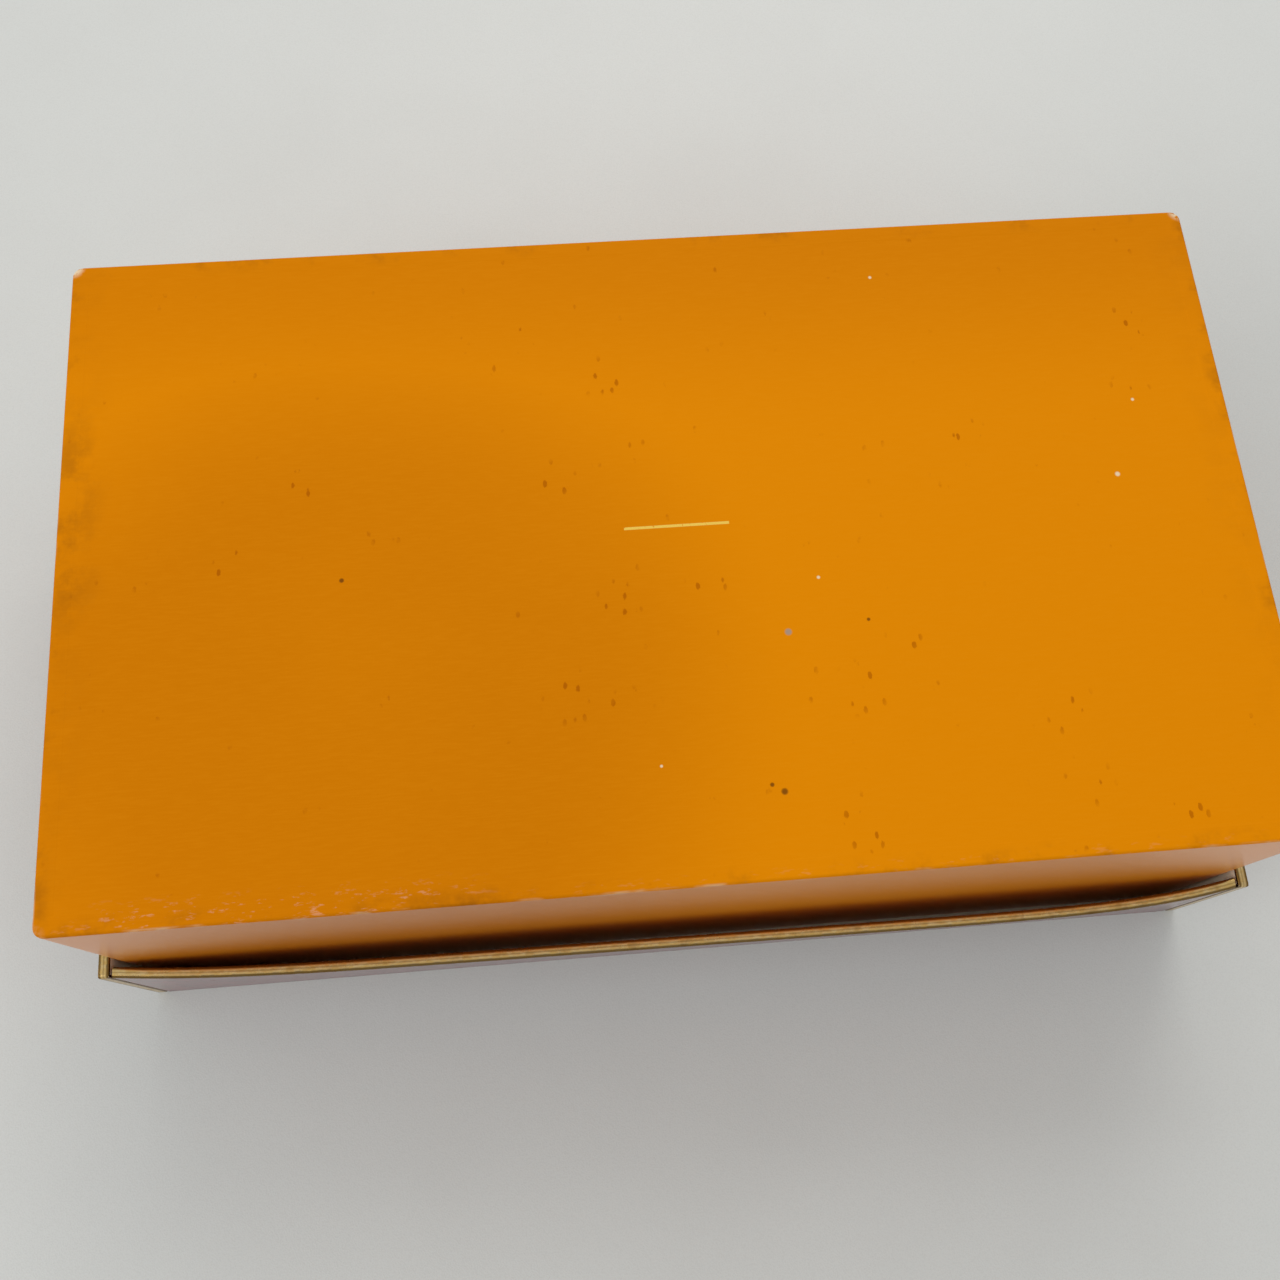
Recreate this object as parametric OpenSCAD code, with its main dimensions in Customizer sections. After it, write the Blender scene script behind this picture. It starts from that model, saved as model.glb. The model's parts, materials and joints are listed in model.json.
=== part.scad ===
// Jack in the box, lying upside down and shut on its own lid.
// A rigid paper-covered case is hinged to a shallow lid at the back, a front
// flap with two magnets keeps it shut, and a spring jack waits inside the case.
// Millimetres. +X runs along the box, -Y is the front, +Z is up, and the origin
// is on the floor under the middle of the whole box.

/* [Case] */
// Length of the case, left to right
case_w = 328; // [250:1:420]
// Depth of the case, front to back
case_d = 191; // [160:1:240]
// Height of the case on its lid, from the floor to the upturned bottom
case_h = 113; // [108:1:150]
// Radius of the case's upright corners
case_corner_r = 3; // [1:0.5:8]

/* [Board and paper] */
// Thickness of the grey board
board_t = 2.4; // [1.5:0.1:3]
// Thickness of the covering paper, the lining and the foil edging
paper_t = 0.3; // [0.2:0.05:0.5]

/* [Lid] */
// Height of the lid's side walls and flap above the floor
lid_h = 55; // [30:1:80]
// Air between the case and each side wall of the lid
side_gap = 1; // [0.5:0.1:3]
// Air between the case and the foot of the flap
front_gap = 1.5; // [1:0.1:4]
// Air between the case's rim and the lid's lining
rim_gap = 0.3; // [0.2:0.1:1]

/* [Flap] */
// Air at each end of the flap
flap_end_gap = 1; // [0.5:0.1:3]
// Air under the flap's board, which lets it fold out
flap_foot_gap = 0.5; // [0.4:0.1:1]
// How far the flap's free edge bows out near its left end
bow_left = 3; // [0:0.5:6]
// How far the flap's free edge bows out near its right end
bow_right = 5.4; // [0:0.5:6]
// Distance between the two magnets
magnet_pitch = 210; // [100:5:230]
// Radius of a magnet
magnet_r = 5; // [3:0.5:8]
// Thickness of a magnet
magnet_t = 1.5; // [1:0.1:1.6]
// How far the magnets lie below the flap's free edge
magnet_drop = 11; // [10:1:20]

/* [Hinge] */
// Radius of the case hinge's folded cloth
fold_r = 0.4; // [0.3:0.05:0.5]
// Height of the hinge cloth on the case's back
cloth_h = 20; // [10:1:40]

/* [Spring and base block] */
// Width and depth of the wooden block under the spring
block_w = 90; // [84:1:120]
// Thickness of the wooden block
block_t = 10; // [6:0.5:14]
// Height of the pressed spring
spring_h = 26; // [22:1:34]
// Radius of the spring at the middle of its wire
spring_r = 20; // [14:1:24]
// Thickness of the spring wire
wire_d = 2; // [1.2:0.1:2.4]
// Number of turns in the spring
spring_turns = 7.5; // [6:0.5:8]

/* [Jack] */
// Radius of the shoulder plate
plate_r = 40; // [36:1:44]
// Thickness of the shoulder plate
plate_t = 4; // [4:0.5:6]
// Wall of the folded gown, between its inner and outer folds
gown_fold = 13; // [8:1:15]
// Radius of the neck dowel
neck_r = 7; // [5:0.5:9]
// Thickness of the ruff
ruff_t = 6; // [4:0.5:9]
// Radius of the ruff
ruff_r = 38; // [30:1:39]
// Radius of the head
head_r = 25; // [20:1:25]
// Thickness of the hat's felt
hat_t = 1.8; // [1:0.1:2.5]
// Radius of a bell
bell_r = 4; // [3:0.5:5]
// Radius of the dowel in each arm
arm_r = 1.5; // [1:0.1:1.8]
// Length of a sleeve
sleeve_len = 22; // [16:1:30]
// Radius of a hand
hand_r = 8; // [6:0.5:9]

/* [Hidden] */
$fn = 64;
fine = 160;

burgundy = [0.30, 0.08, 0.12];
orange = [0.88, 0.50, 0.02];
gold = [0.80, 0.66, 0.38];
greyboard = [0.62, 0.58, 0.52];
cream = [0.93, 0.88, 0.78];
steel = [0.70, 0.71, 0.73];
beech = [0.83, 0.66, 0.45];
skin = [0.95, 0.80, 0.66];

sides = [-1, 1];
wall_t = board_t + 2 * paper_t;
half_w = case_w / 2;
half_d = case_d / 2;

// Lid: the panel lies on the floor and its walls stand on the panel's board.
lid_in_x = half_w + side_gap;
lid_out_x = lid_in_x + wall_t;
lid_top_z = wall_t;
front_y = -(half_d + front_gap + wall_t);
panel_front_y = -(half_d + front_gap - paper_t);

// Flap: its hinge is the crease of the covering paper at the panel's front.
flap_half_w = lid_in_x - flap_end_gap;
flap_axis_y = front_y + paper_t;
flap_axis_z = paper_t;
flap_foot_z = flap_axis_z + flap_foot_gap;
flap_top_z = lid_h - paper_t;
bow_steps = 40;

// Case: it stands on the lid's lining, rim down.
rim_z = lid_top_z + rim_gap;
case_in_w = case_w - 2 * wall_t;
case_in_d = case_d - 2 * wall_t;
floor_z = case_h - wall_t;
case_hinge_y = half_d + fold_r + 0.05;
case_hinge_z = rim_z - 0.15;
cloth_clear = 0.8;

// The box's own middle, front to back, is moved onto the origin.
far_front_y = front_y - max([for (i = [0:bow_steps]) bow(i / bow_steps)]);
centre_y = -(far_front_y + case_hinge_y + fold_r) / 2;

// Heights in the jack's own frame: zero is the inside of the case's bottom and
// +Z is the way the jack springs.
spring_z = block_t;
plate_z = spring_z + spring_h;
ruff_z = plate_z + plate_t;
head_z = ruff_z + ruff_t + head_r;
arm_z = plate_z + plate_t / 2;
hat_z = head_z + 0.35 * head_r;
hat_r = head_r + hat_t;
fold_gap = 0.3;
seam_gap = 0.25;
tuft_gap = 0.1;
sleeve_x = plate_r + 0.6;
cuff_x = sleeve_x + sleeve_len;
cuff_len = 4;
sleeve_r = [5, 8];
cuff_r = 9.5;
hand_x = cuff_x + cuff_len + 0.8 * hand_r;
eye_dir = [0.34, 0.12];

// Each tuft of hair: its turn round the head, then its height and radius in head radii.
hair_tufts = [[0, -0.02, 0.22], [-18, -0.2, 0.2], [18, -0.2, 0.2], [0, -0.4, 0.18]];

staple_wire = 0.8;

// How far the flap's edge stands out at s, from 0 at its left end to 1.
function bow(s) = (bow_left + (bow_right - bow_left) * s) * (1 - pow(abs(2 * s - 1), 6));

// Share of the bow that the flap has at height z.
function bow_share(z) = (z - flap_foot_z) / (lid_h - flap_foot_z);

function flap_x(s) = -flap_half_w + 2 * flap_half_w * s;

// Moves a shape from the middle of the case to the part's origin.
module centred() {
    translate([0, centre_y, 0])
        children();
}

// Turns a shape from the jack's own frame into the upturned case.
module in_case() {
    centred()
        translate([0, 0, floor_z])
            rotate([0, 180, 0])
                children();
}

// A box given by its lowest and highest corners.
module span_box(low, high) {
    translate(low)
        cube(high - low);
}

// An upright block with round corners, centred in plan.
module round_block(w, d, r, z0, z1) {
    translate([0, 0, z0])
        linear_extrude(z1 - z0) {
            square([w - 2 * r, d], center = true);
            square([w, d - 2 * r], center = true);
            for (sx = sides, sy = sides)
                translate([sx * (w / 2 - r), sy * (d / 2 - r)])
                    circle(r);
        }
}

// One layer of the flap, from y0 to y1 at its foot, bowed more towards its top.
module bowed_layer(y0, y1, z0, z1) {
    function corner(i, y, z) = [
        flap_x(i / bow_steps),
        y - bow(i / bow_steps) * bow_share(z),
        z
    ];
    points = [
        for (i = [0:bow_steps])
            for (c = [[y0, z0], [y1, z0], [y1, z1], [y0, z1]])
                corner(i, c[0], c[1])
    ];
    // The front wall is split along the other diagonal, so that two layers meet.
    walls = [
        for (i = [0:bow_steps - 1])
            for (k = [0:3])
                for (t = k == 3 ? [[0, 4, 5], [0, 5, 1]] : [[0, 4, 1], [1, 4, 5]])
                    [for (j = t) 4 * i + (j < 4 ? (k + j) % 4 : 4 + (k + j - 4) % 4)]
    ];
    ends = [[0, 1, 2, 3], [for (k = [3:-1:0]) 4 * bow_steps + k]];
    polyhedron(points = points, faces = concat(walls, ends), convexity = 4);
}

// ---- Lid -------------------------------------------------------------------

module lid_board() {
    color(greyboard)
        centred()
            span_box([-lid_out_x + paper_t, panel_front_y, paper_t],
                     [lid_out_x - paper_t, half_d, paper_t + board_t]);
}

module lid_wall(side) {
    color(greyboard)
        centred()
            translate([side * (lid_in_x + paper_t + board_t / 2), 0, 0])
                span_box([-board_t / 2, front_y + paper_t, paper_t + board_t],
                         [board_t / 2, half_d, flap_top_z]);
}

module lid_face_paper() {
    crease_gap = 0.1;
    color(burgundy)
        centred()
            span_box([-lid_out_x, flap_axis_y + paper_t + crease_gap, 0],
                     [lid_out_x, half_d, paper_t]);
}

module lid_side_papers() {
    color(burgundy)
        centred()
            for (side = sides)
                translate([side * (lid_out_x - paper_t / 2), 0, 0])
                    span_box([-paper_t / 2, front_y + paper_t, paper_t],
                             [paper_t / 2, half_d, flap_top_z]);
}

module lid_lining() {
    color(cream)
        centred() {
            span_box([-lid_in_x - paper_t, panel_front_y, lid_top_z - paper_t],
                     [lid_in_x + paper_t, half_d, lid_top_z]);
            for (side = sides)
                translate([side * (lid_in_x + paper_t / 2), 0, 0])
                    span_box([-paper_t / 2, front_y + paper_t, lid_top_z - paper_t],
                             [paper_t / 2, half_d, flap_top_z]);
        }
}

module lid_rim_trims() {
    color(gold)
        centred()
            for (side = sides)
                translate([side * (lid_in_x + wall_t / 2), 0, 0]) {
                    span_box([-wall_t / 2, front_y, flap_top_z], [wall_t / 2, half_d, lid_h]);
                    span_box([-wall_t / 2, front_y, paper_t], [wall_t / 2, front_y + paper_t, lid_h]);
                }
}

// The cloth's lower leaf covers the panel's back edge and ends in the fold.
module lid_hinge_cloth() {
    color(burgundy)
        centred() {
            span_box([-half_w, half_d, paper_t], [half_w, case_hinge_y, case_hinge_z - fold_r / 2]);
            translate([-half_w, case_hinge_y, case_hinge_z])
                rotate([0, 90, 0])
                    cylinder(r = fold_r, h = case_w);
        }
}

// ---- Flap ------------------------------------------------------------------

// Places a shape at each magnet, its +Z pointing out of the flap's lining side.
module at_magnets() {
    z = lid_h - magnet_drop;
    for (side = sides) {
        s = (side * magnet_pitch / 2 + flap_half_w) / (2 * flap_half_w);
        lean = atan(bow(s) / (lid_h - flap_foot_z));
        translate([flap_x(s), front_y + paper_t + board_t - bow(s) * bow_share(z), z])
            rotate([-90 + lean, 0, 0])
                children();
    }
}

magnet_cover = 0.3;

module flap_board() {
    color(greyboard)
        centred()
            difference() {
                bowed_layer(front_y + paper_t, front_y + paper_t + board_t, flap_foot_z, flap_top_z);
                at_magnets()
                    translate([0, 0, -magnet_t - magnet_cover])
                        cylinder(r = magnet_r, h = magnet_t + 2);
            }
}

// The covering paper ends below in the round crease that the flap turns on.
module flap_face_paper() {
    color(burgundy)
        centred() {
            bowed_layer(front_y, front_y + paper_t, flap_foot_z, flap_top_z);
            span_box([-flap_half_w, front_y, flap_axis_z], [flap_half_w, flap_axis_y, flap_foot_z]);
            translate([-flap_half_w, flap_axis_y, flap_axis_z])
                rotate([0, 90, 0])
                    cylinder(r = paper_t, h = 2 * flap_half_w);
        }
}

module flap_lining() {
    color(cream)
        centred()
            bowed_layer(front_y + wall_t - paper_t, front_y + wall_t, flap_foot_z, flap_top_z);
}

module flap_rim_trim() {
    color(gold)
        centred()
            bowed_layer(front_y, front_y + wall_t, flap_top_z, lid_h);
}

module flap_magnets() {
    color(steel)
        centred()
            at_magnets()
                translate([0, 0, -magnet_t - magnet_cover])
                    cylinder(r = magnet_r, h = magnet_t);
}

// ---- Case ------------------------------------------------------------------

// The ring of board under the covering paper, from which each wall is cut.
module board_block(z0, z1) {
    round_block(case_w - 2 * paper_t, case_d - 2 * paper_t, case_corner_r - paper_t, z0, z1);
}

module case_bottom_board() {
    color(greyboard)
        centred()
            board_block(case_h - paper_t - board_t, case_h - paper_t);
}

wall_low_z = rim_z + paper_t;
wall_high_z = case_h - paper_t - board_t;
end_inner_x = half_w - paper_t - board_t;
long_inner_y = half_d - paper_t - board_t;

module long_wall(side) {
    intersection() {
        board_block(wall_low_z, wall_high_z);
        translate([0, side * (long_inner_y + board_t), (wall_low_z + wall_high_z) / 2])
            cube([case_w, 2 * board_t, case_h], center = true);
    }
}

module end_wall(side) {
    translate([side * (end_inner_x + board_t / 2), 0, (wall_low_z + wall_high_z) / 2])
        cube([board_t, 2 * long_inner_y, wall_high_z - wall_low_z], center = true);
}

plate_disc_r = magnet_r + 3;
plate_disc_t = 0.8;

// Places a shape on the case's front board at each magnet, +Z pointing out.
module at_strikes() {
    for (side = sides)
        translate([side * magnet_pitch / 2, -half_d + paper_t, lid_h - magnet_drop])
            rotate([90, 0, 0])
                children();
}

module case_front_board() {
    color(greyboard)
        centred()
            difference() {
                long_wall(-1);
                at_strikes()
                    translate([0, 0, -plate_disc_t])
                        cylinder(r = plate_disc_r, h = plate_disc_t + 1);
            }
}

module case_back_board() {
    color(greyboard)
        centred()
            long_wall(1);
}

module case_left_board() {
    color(greyboard)
        centred()
            end_wall(-1);
}

module case_right_board() {
    color(greyboard)
        centred()
            end_wall(1);
}

// The covering paper goes round the walls, over the bottom and round the rim.
module case_paper() {
    color(orange)
        centred()
            difference() {
                round_block(case_w, case_d, case_corner_r, rim_z, case_h);
                board_block(wall_low_z, case_h - paper_t);
                translate([0, 0, rim_z])
                    cube([case_in_w, case_in_d, 2], center = true);
            }
}

module case_lining() {
    color(cream)
        centred()
            difference() {
                span_box([-end_inner_x, -long_inner_y, wall_low_z],
                         [end_inner_x, long_inner_y, wall_high_z]);
                span_box([-case_in_w / 2, -case_in_d / 2, wall_low_z - 1],
                         [case_in_w / 2, case_in_d / 2, floor_z]);
            }
}

module strike_plates() {
    color(steel)
        centred()
            at_strikes()
                translate([0, 0, -plate_disc_t])
                    cylinder(r = plate_disc_r, h = plate_disc_t);
}

// The cloth's upper leaf starts clear of the fold, so the case can lie back.
module case_hinge_cloth() {
    low_z = case_hinge_z + fold_r + cloth_clear;
    color(burgundy)
        centred()
            span_box([-half_w + case_corner_r, half_d, low_z],
                     [half_w - case_corner_r, half_d + paper_t, low_z + cloth_h]);
}

// ---- Base block and spring ---------------------------------------------------

screw_inset = 10;
screw_r = 1.5;
screw_head_r = 3;
screw_head_t = 1.8;

// Places a shape at each corner of the base block, on its upper face.
module at_screws() {
    for (sx = sides, sy = sides)
        translate([sx * (block_w / 2 - screw_inset), sy * (block_w / 2 - screw_inset), block_t])
            children();
}

// Screw shape: a countersunk head flush with z = 0 and a shank below it.
module screw_shape() {
    translate([0, 0, -screw_head_t])
        cylinder(r1 = screw_r, r2 = screw_head_r, h = screw_head_t);
    translate([0, 0, -block_t])
        cylinder(r = screw_r, h = block_t - screw_head_t);
}

module mount_block() {
    color(beech)
        in_case()
            difference() {
                translate([-block_w / 2, -block_w / 2, 0])
                    cube([block_w, block_w, block_t]);
                at_screws()
                    screw_shape();
            }
}

module block_screws() {
    color(steel)
        in_case()
            at_screws()
                difference() {
                    screw_shape();
                    translate([-screw_head_r, -0.4, -0.7])
                        cube([2 * screw_head_r, 0.8, 1]);
                }
}

wire_r = wire_d / 2;
turn_steps = 24;
wire_sides = 8;
spring_pitch = (spring_h - wire_d) / spring_turns;
ring_count = turn_steps * spring_turns;

// The spring is a round wire carried along a helix.
module spring() {
    function ring_point(i, k) =
        let (turn = 360 * i / turn_steps, around = 360 * k / wire_sides)
        let (reach = spring_r + wire_r * cos(around))
        [
            reach * cos(turn),
            reach * sin(turn),
            spring_z + wire_r + spring_pitch * turn / 360 + wire_r * sin(around)
        ];
    points = [for (i = [0:ring_count]) for (k = [0:wire_sides - 1]) ring_point(i, k)];
    skin = [
        for (i = [0:ring_count - 1])
            for (k = [0:wire_sides - 1])
                let (a = wire_sides * i + k, b = wire_sides * i + (k + 1) % wire_sides)
                    for (f = [[a, a + wire_sides, b], [b, a + wire_sides, b + wire_sides]])
                        f
    ];
    ends = [
        [for (k = [0:wire_sides - 1]) k],
        [for (k = [wire_sides - 1:-1:0]) wire_sides * ring_count + k]
    ];
    color(steel)
        in_case()
            polyhedron(points = points, faces = concat(skin, ends), convexity = 20);
}

// A staple over the wire: its legs stand on z = 0 on either side of it.
module staple(height) {
    half = wire_r + 0.2;
    for (side = sides)
        translate([side * (half + staple_wire / 2), 0, height / 2])
            cube([staple_wire, staple_wire, height], center = true);
    translate([0, 0, height - staple_wire / 2])
        cube([2 * half + 2 * staple_wire, staple_wire, staple_wire], center = true);
}

staple_turns = [6, 36];

// Height of a staple at a turn from the wire's end, just over the rising wire.
function staple_height(turn) = wire_d + spring_pitch * turn / 360 + 0.15 + staple_wire;

module lower_staples() {
    color(steel)
        in_case()
            for (turn = staple_turns)
                rotate([0, 0, turn])
                    translate([spring_r, 0, spring_z])
                        staple(staple_height(turn));
}

module upper_staples() {
    end_turn = 360 * spring_turns;
    color(steel)
        in_case()
            for (turn = staple_turns)
                rotate([0, 0, end_turn - turn])
                    translate([spring_r, 0, plate_z])
                        rotate([180, 0, 0])
                            staple(staple_height(turn));
}

// The gown pressed flat: a folded sleeve of cloth round the spring.
module gown() {
    color(burgundy)
        in_case()
            translate([0, 0, spring_z + fold_gap])
                difference() {
                    cylinder(r = plate_r, h = spring_h - 2 * fold_gap);
                    translate([0, 0, -1])
                        cylinder(r = plate_r - gown_fold, h = spring_h + 2);
                }
}

// ---- Jack --------------------------------------------------------------------

module head_ball() {
    translate([0, 0, head_z])
        sphere(head_r, $fn = fine);
}

module arm_rods(r) {
    for (side = sides)
        translate([side * (plate_r - 12), 0, arm_z])
            rotate([0, side * 90, 0])
                cylinder(r = r, h = hand_x - plate_r + 12);
}

module shoulder_plate() {
    color(beech)
        in_case()
            difference() {
                translate([0, 0, plate_z])
                    cylinder(r = plate_r, h = plate_t);
                arm_rods(arm_r);
            }
}

module neck_rod() {
    translate([0, 0, ruff_z])
        cylinder(r = neck_r, h = ruff_t + head_r / 3);
}

module neck_dowel() {
    color(beech)
        in_case()
            neck_rod();
}

module ruff() {
    color(cream)
        in_case()
            translate([0, 0, ruff_z])
                difference() {
                    cylinder(r = ruff_r, h = ruff_t);
                    translate([0, 0, -1])
                        cylinder(r = neck_r + fold_gap, h = ruff_t + 2);
                }
}

module head() {
    color(skin)
        in_case()
            difference() {
                head_ball();
                neck_rod();
            }
}

// A round feature standing on the head, with its place and size in head radii.
module on_face(x, z, r, sink = 0) {
    y = -sqrt(1 - x * x - z * z);
    difference() {
        translate([0, 0, head_z])
            translate((1 - sink) * head_r * [x, y, z])
                sphere(r * head_r, $fn = fine);
        head_ball();
    }
}

module eyes() {
    color("black")
        in_case()
            for (side = sides)
                on_face(side * eye_dir[0], eye_dir[1], 0.112, 0.04);
}

module nose() {
    color([0.80, 0.12, 0.10])
        in_case()
            on_face(0, -0.10, 0.168);
}

module cheeks() {
    color([0.92, 0.45, 0.40])
        in_case()
            for (side = sides)
                on_face(side * 0.56, -0.22, 0.18, 0.136);
}

// A smile: the lower part of a ring, standing a little proud of the head.
module mouth() {
    smile_r = 0.42 * head_r;
    lip = 1.6;
    color([0.70, 0.10, 0.10])
        in_case()
            intersection() {
                difference() {
                    translate([0, 0, head_z])
                        sphere(head_r + 0.5, $fn = fine);
                    head_ball();
                }
                translate([0, 0, head_z - 0.14 * head_r])
                    rotate([90, 0, 0])
                        difference() {
                            cylinder(r = smile_r, h = 2 * head_r, $fn = fine);
                            translate([0, 0, -1])
                                cylinder(r = smile_r - lip, h = 2 * head_r + 2, $fn = fine);
                        }
                span_box([-0.34 * head_r, -2 * head_r, head_z - head_r],
                         [0.34 * head_r, 0, head_z - 0.30 * head_r]);
            }
}

// Woollen tufts at each side of the head, below the hat, standing off its paint.
module hair() {
    color([0.86, 0.42, 0.05])
        in_case()
            for (side = sides, tuft = hair_tufts)
                translate([0, 0, head_z])
                    rotate([0, side * -asin(tuft[1]), side * tuft[0]])
                        translate([side * (tuft_gap + (1 + tuft[2]) * head_r), 0, 0])
                            rotate([0, 0, 90])
                                sphere(tuft[2] * head_r);
}

// Points along a hat horn, from inside the cap out to its bell, with radii.
function horn(side) = [
    [[side * 0.32 * head_r, 0, head_z + 0.76 * head_r], 0.44 * head_r],
    [[side * 1.04 * head_r, 0, head_z + 0.86 * head_r], 0.272 * head_r],
    [[side * 1.52 * head_r, 0, head_z + 0.66 * head_r], 0.176 * head_r],
    [[side * 1.76 * head_r, 0, head_z + 0.40 * head_r], 0.104 * head_r]
];
back_horn = [
    [[0, 0.32 * head_r, head_z + 0.76 * head_r], 0.4 * head_r],
    [[0, head_r, head_z + 0.70 * head_r], 0.24 * head_r],
    [[0, 1.36 * head_r, head_z + 0.44 * head_r], 0.104 * head_r]
];

// One point of the hat: padded felt that runs through the balls of a path.
module hat_horn(path) {
    for (i = [0:len(path) - 2])
        hull()
            for (k = [i, i + 1])
                translate(path[k][0])
                    sphere(path[k][1], $fn = 20);
}

module hat() {
    color(burgundy)
        in_case()
            difference() {
                intersection() {
                    translate([0, 0, head_z])
                        sphere(hat_r, $fn = fine);
                    span_box([-2 * hat_r, -2 * hat_r, hat_z], [2 * hat_r, 2 * hat_r, head_z + 2 * hat_r]);
                }
                head_ball();
                hat_band_ring();
            }
}

// The points are sewn on the hat's crown, a seam's width off it.
module hat_points() {
    color(orange)
        in_case()
            difference() {
                union() {
                    for (side = sides)
                        hat_horn(horn(side));
                    hat_horn(back_horn);
                }
                translate([0, 0, head_z])
                    sphere(hat_r + seam_gap, $fn = 48);
            }
}

band_r = 1.8;

module hat_band_ring() {
    translate([0, 0, hat_z])
        rotate_extrude()
            translate([sqrt(pow(head_r, 2) - pow(hat_z - head_z, 2)) + band_r * 0.9, 0])
                circle(band_r);
}

module hat_band() {
    color(gold)
        in_case()
            difference() {
                hat_band_ring();
                head_ball();
            }
}

// A round bell with a cross of slots, hanging below a horn's end.
module bell(end) {
    translate(end[0] - [0, 0, end[1] + bell_r])
        difference() {
            sphere(bell_r);
            translate([0, 0, -bell_r])
                cube([2 * bell_r, 0.8, bell_r * 1.3], center = true);
            translate([0, 0, -bell_r])
                cube([0.8, 2 * bell_r, bell_r * 1.3], center = true);
        }
}

module hat_bells() {
    color(gold)
        in_case() {
            for (side = sides)
                bell(horn(side)[3]);
            bell(back_horn[2]);
        }
}

module arm_dowels() {
    color(beech)
        in_case()
            arm_rods(arm_r);
}

module sleeves() {
    color(orange)
        in_case()
            difference() {
                for (side = sides)
                    translate([side * sleeve_x, 0, arm_z])
                        rotate([0, side * 90, 0])
                            cylinder(r1 = sleeve_r[0], r2 = sleeve_r[1], h = sleeve_len);
                arm_rods(arm_r);
            }
}

module cuffs() {
    color(cream)
        in_case()
            difference() {
                for (side = sides)
                    translate([side * cuff_x, 0, arm_z])
                        rotate([0, side * 90, 0])
                            cylinder(r = cuff_r, h = cuff_len);
                arm_rods(arm_r);
            }
}

// Mitten hands: a ball for the palm with a thumb, flat against the cuff.
module hands() {
    color(skin)
        in_case()
            difference() {
                for (side = sides)
                    translate([side * hand_x, 0, arm_z])
                        rotate([0, 0, 90]) {
                            sphere(hand_r);
                            translate([-0.5 * hand_r, side, 0.8 * hand_r])
                                sphere(0.42 * hand_r);
                        }
                arm_rods(arm_r);
                span_box([-cuff_x - cuff_len, -2 * hand_r, arm_z - 2 * hand_r],
                         [cuff_x + cuff_len, 2 * hand_r, arm_z + 2 * hand_r]);
            }
}

lid_board();
lid_wall(-1);  // lid_wall_left
lid_wall(1);  // lid_wall_right
lid_face_paper();
lid_side_papers();
lid_lining();
lid_rim_trims();
lid_hinge_cloth();
flap_board();
flap_face_paper();
flap_lining();
flap_rim_trim();
flap_magnets();
case_bottom_board();
case_front_board();
case_back_board();
case_left_board();
case_right_board();
case_paper();
case_lining();
strike_plates();
case_hinge_cloth();
mount_block();
block_screws();
lower_staples();
spring();
gown();
shoulder_plate();
upper_staples();
neck_dowel();
ruff();
head();
eyes();
nose();
cheeks();
mouth();
hair();
hat();
hat_points();
hat_band();
hat_bells();
arm_dowels();
sleeves();
cuffs();
hands();
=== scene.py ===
"""Looks for the jack in the box: papers, foil, cloth, paint and the sprung figure."""

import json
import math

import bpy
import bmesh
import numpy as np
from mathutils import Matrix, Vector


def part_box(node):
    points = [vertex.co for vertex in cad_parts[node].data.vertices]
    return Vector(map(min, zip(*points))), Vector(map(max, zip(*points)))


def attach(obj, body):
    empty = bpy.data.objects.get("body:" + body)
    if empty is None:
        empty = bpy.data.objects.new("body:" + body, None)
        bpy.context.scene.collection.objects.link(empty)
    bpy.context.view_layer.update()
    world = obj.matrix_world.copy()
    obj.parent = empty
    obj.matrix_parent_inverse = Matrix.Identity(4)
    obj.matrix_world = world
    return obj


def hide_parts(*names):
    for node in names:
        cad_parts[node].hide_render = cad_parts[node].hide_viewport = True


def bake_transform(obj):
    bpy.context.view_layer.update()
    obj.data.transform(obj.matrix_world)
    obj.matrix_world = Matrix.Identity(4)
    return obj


bl_info = {
    "name": "Jack in the Box Looks",
    "version": (1, 0, 0),
    "blender": (4, 5, 0),
    "location": "3D View > Sidebar > Jack Box",
    "description": "Builds the papered case, its lid and flap, and the spring jack inside",
    "category": "Add Mesh",
}

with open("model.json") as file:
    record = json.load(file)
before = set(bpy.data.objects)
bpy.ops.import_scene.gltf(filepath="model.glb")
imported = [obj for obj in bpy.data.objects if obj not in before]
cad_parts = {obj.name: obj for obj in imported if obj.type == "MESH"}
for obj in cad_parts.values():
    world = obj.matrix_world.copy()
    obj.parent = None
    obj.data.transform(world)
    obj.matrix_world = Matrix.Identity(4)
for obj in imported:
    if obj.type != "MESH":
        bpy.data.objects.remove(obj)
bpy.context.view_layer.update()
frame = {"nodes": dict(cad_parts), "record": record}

MM = 0.001
TAU = 2 * math.pi


def tone(red, green, blue):
    """A colour written as it looks on a screen, 0 to 255, made linear."""
    def straight(part):
        part = part / 255
        return part / 12.92 if part <= 0.04045 else ((part + 0.055) / 1.055) ** 2.4
    return (straight(red), straight(green), straight(blue))


# ---- Places taken from the frame ---------------------------------------------

CASE_LOW, CASE_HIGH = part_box("case_paper")
LID_LOW, LID_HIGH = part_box("lid_face_paper")
TRIM_LOW, TRIM_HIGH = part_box("lid_rim_trims")
WALL_LOW, WALL_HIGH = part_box("lid_wall_right")
FLAP_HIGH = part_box("flap_board")[1]
EDGE_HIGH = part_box("flap_rim_trim")[1]
GOWN_LOW, GOWN_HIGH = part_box("gown")
HEAD_LOW, HEAD_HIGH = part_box("head")
RUFF_LOW, RUFF_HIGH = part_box("ruff")
PLATE_LOW, PLATE_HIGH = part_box("shoulder_plate")

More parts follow.
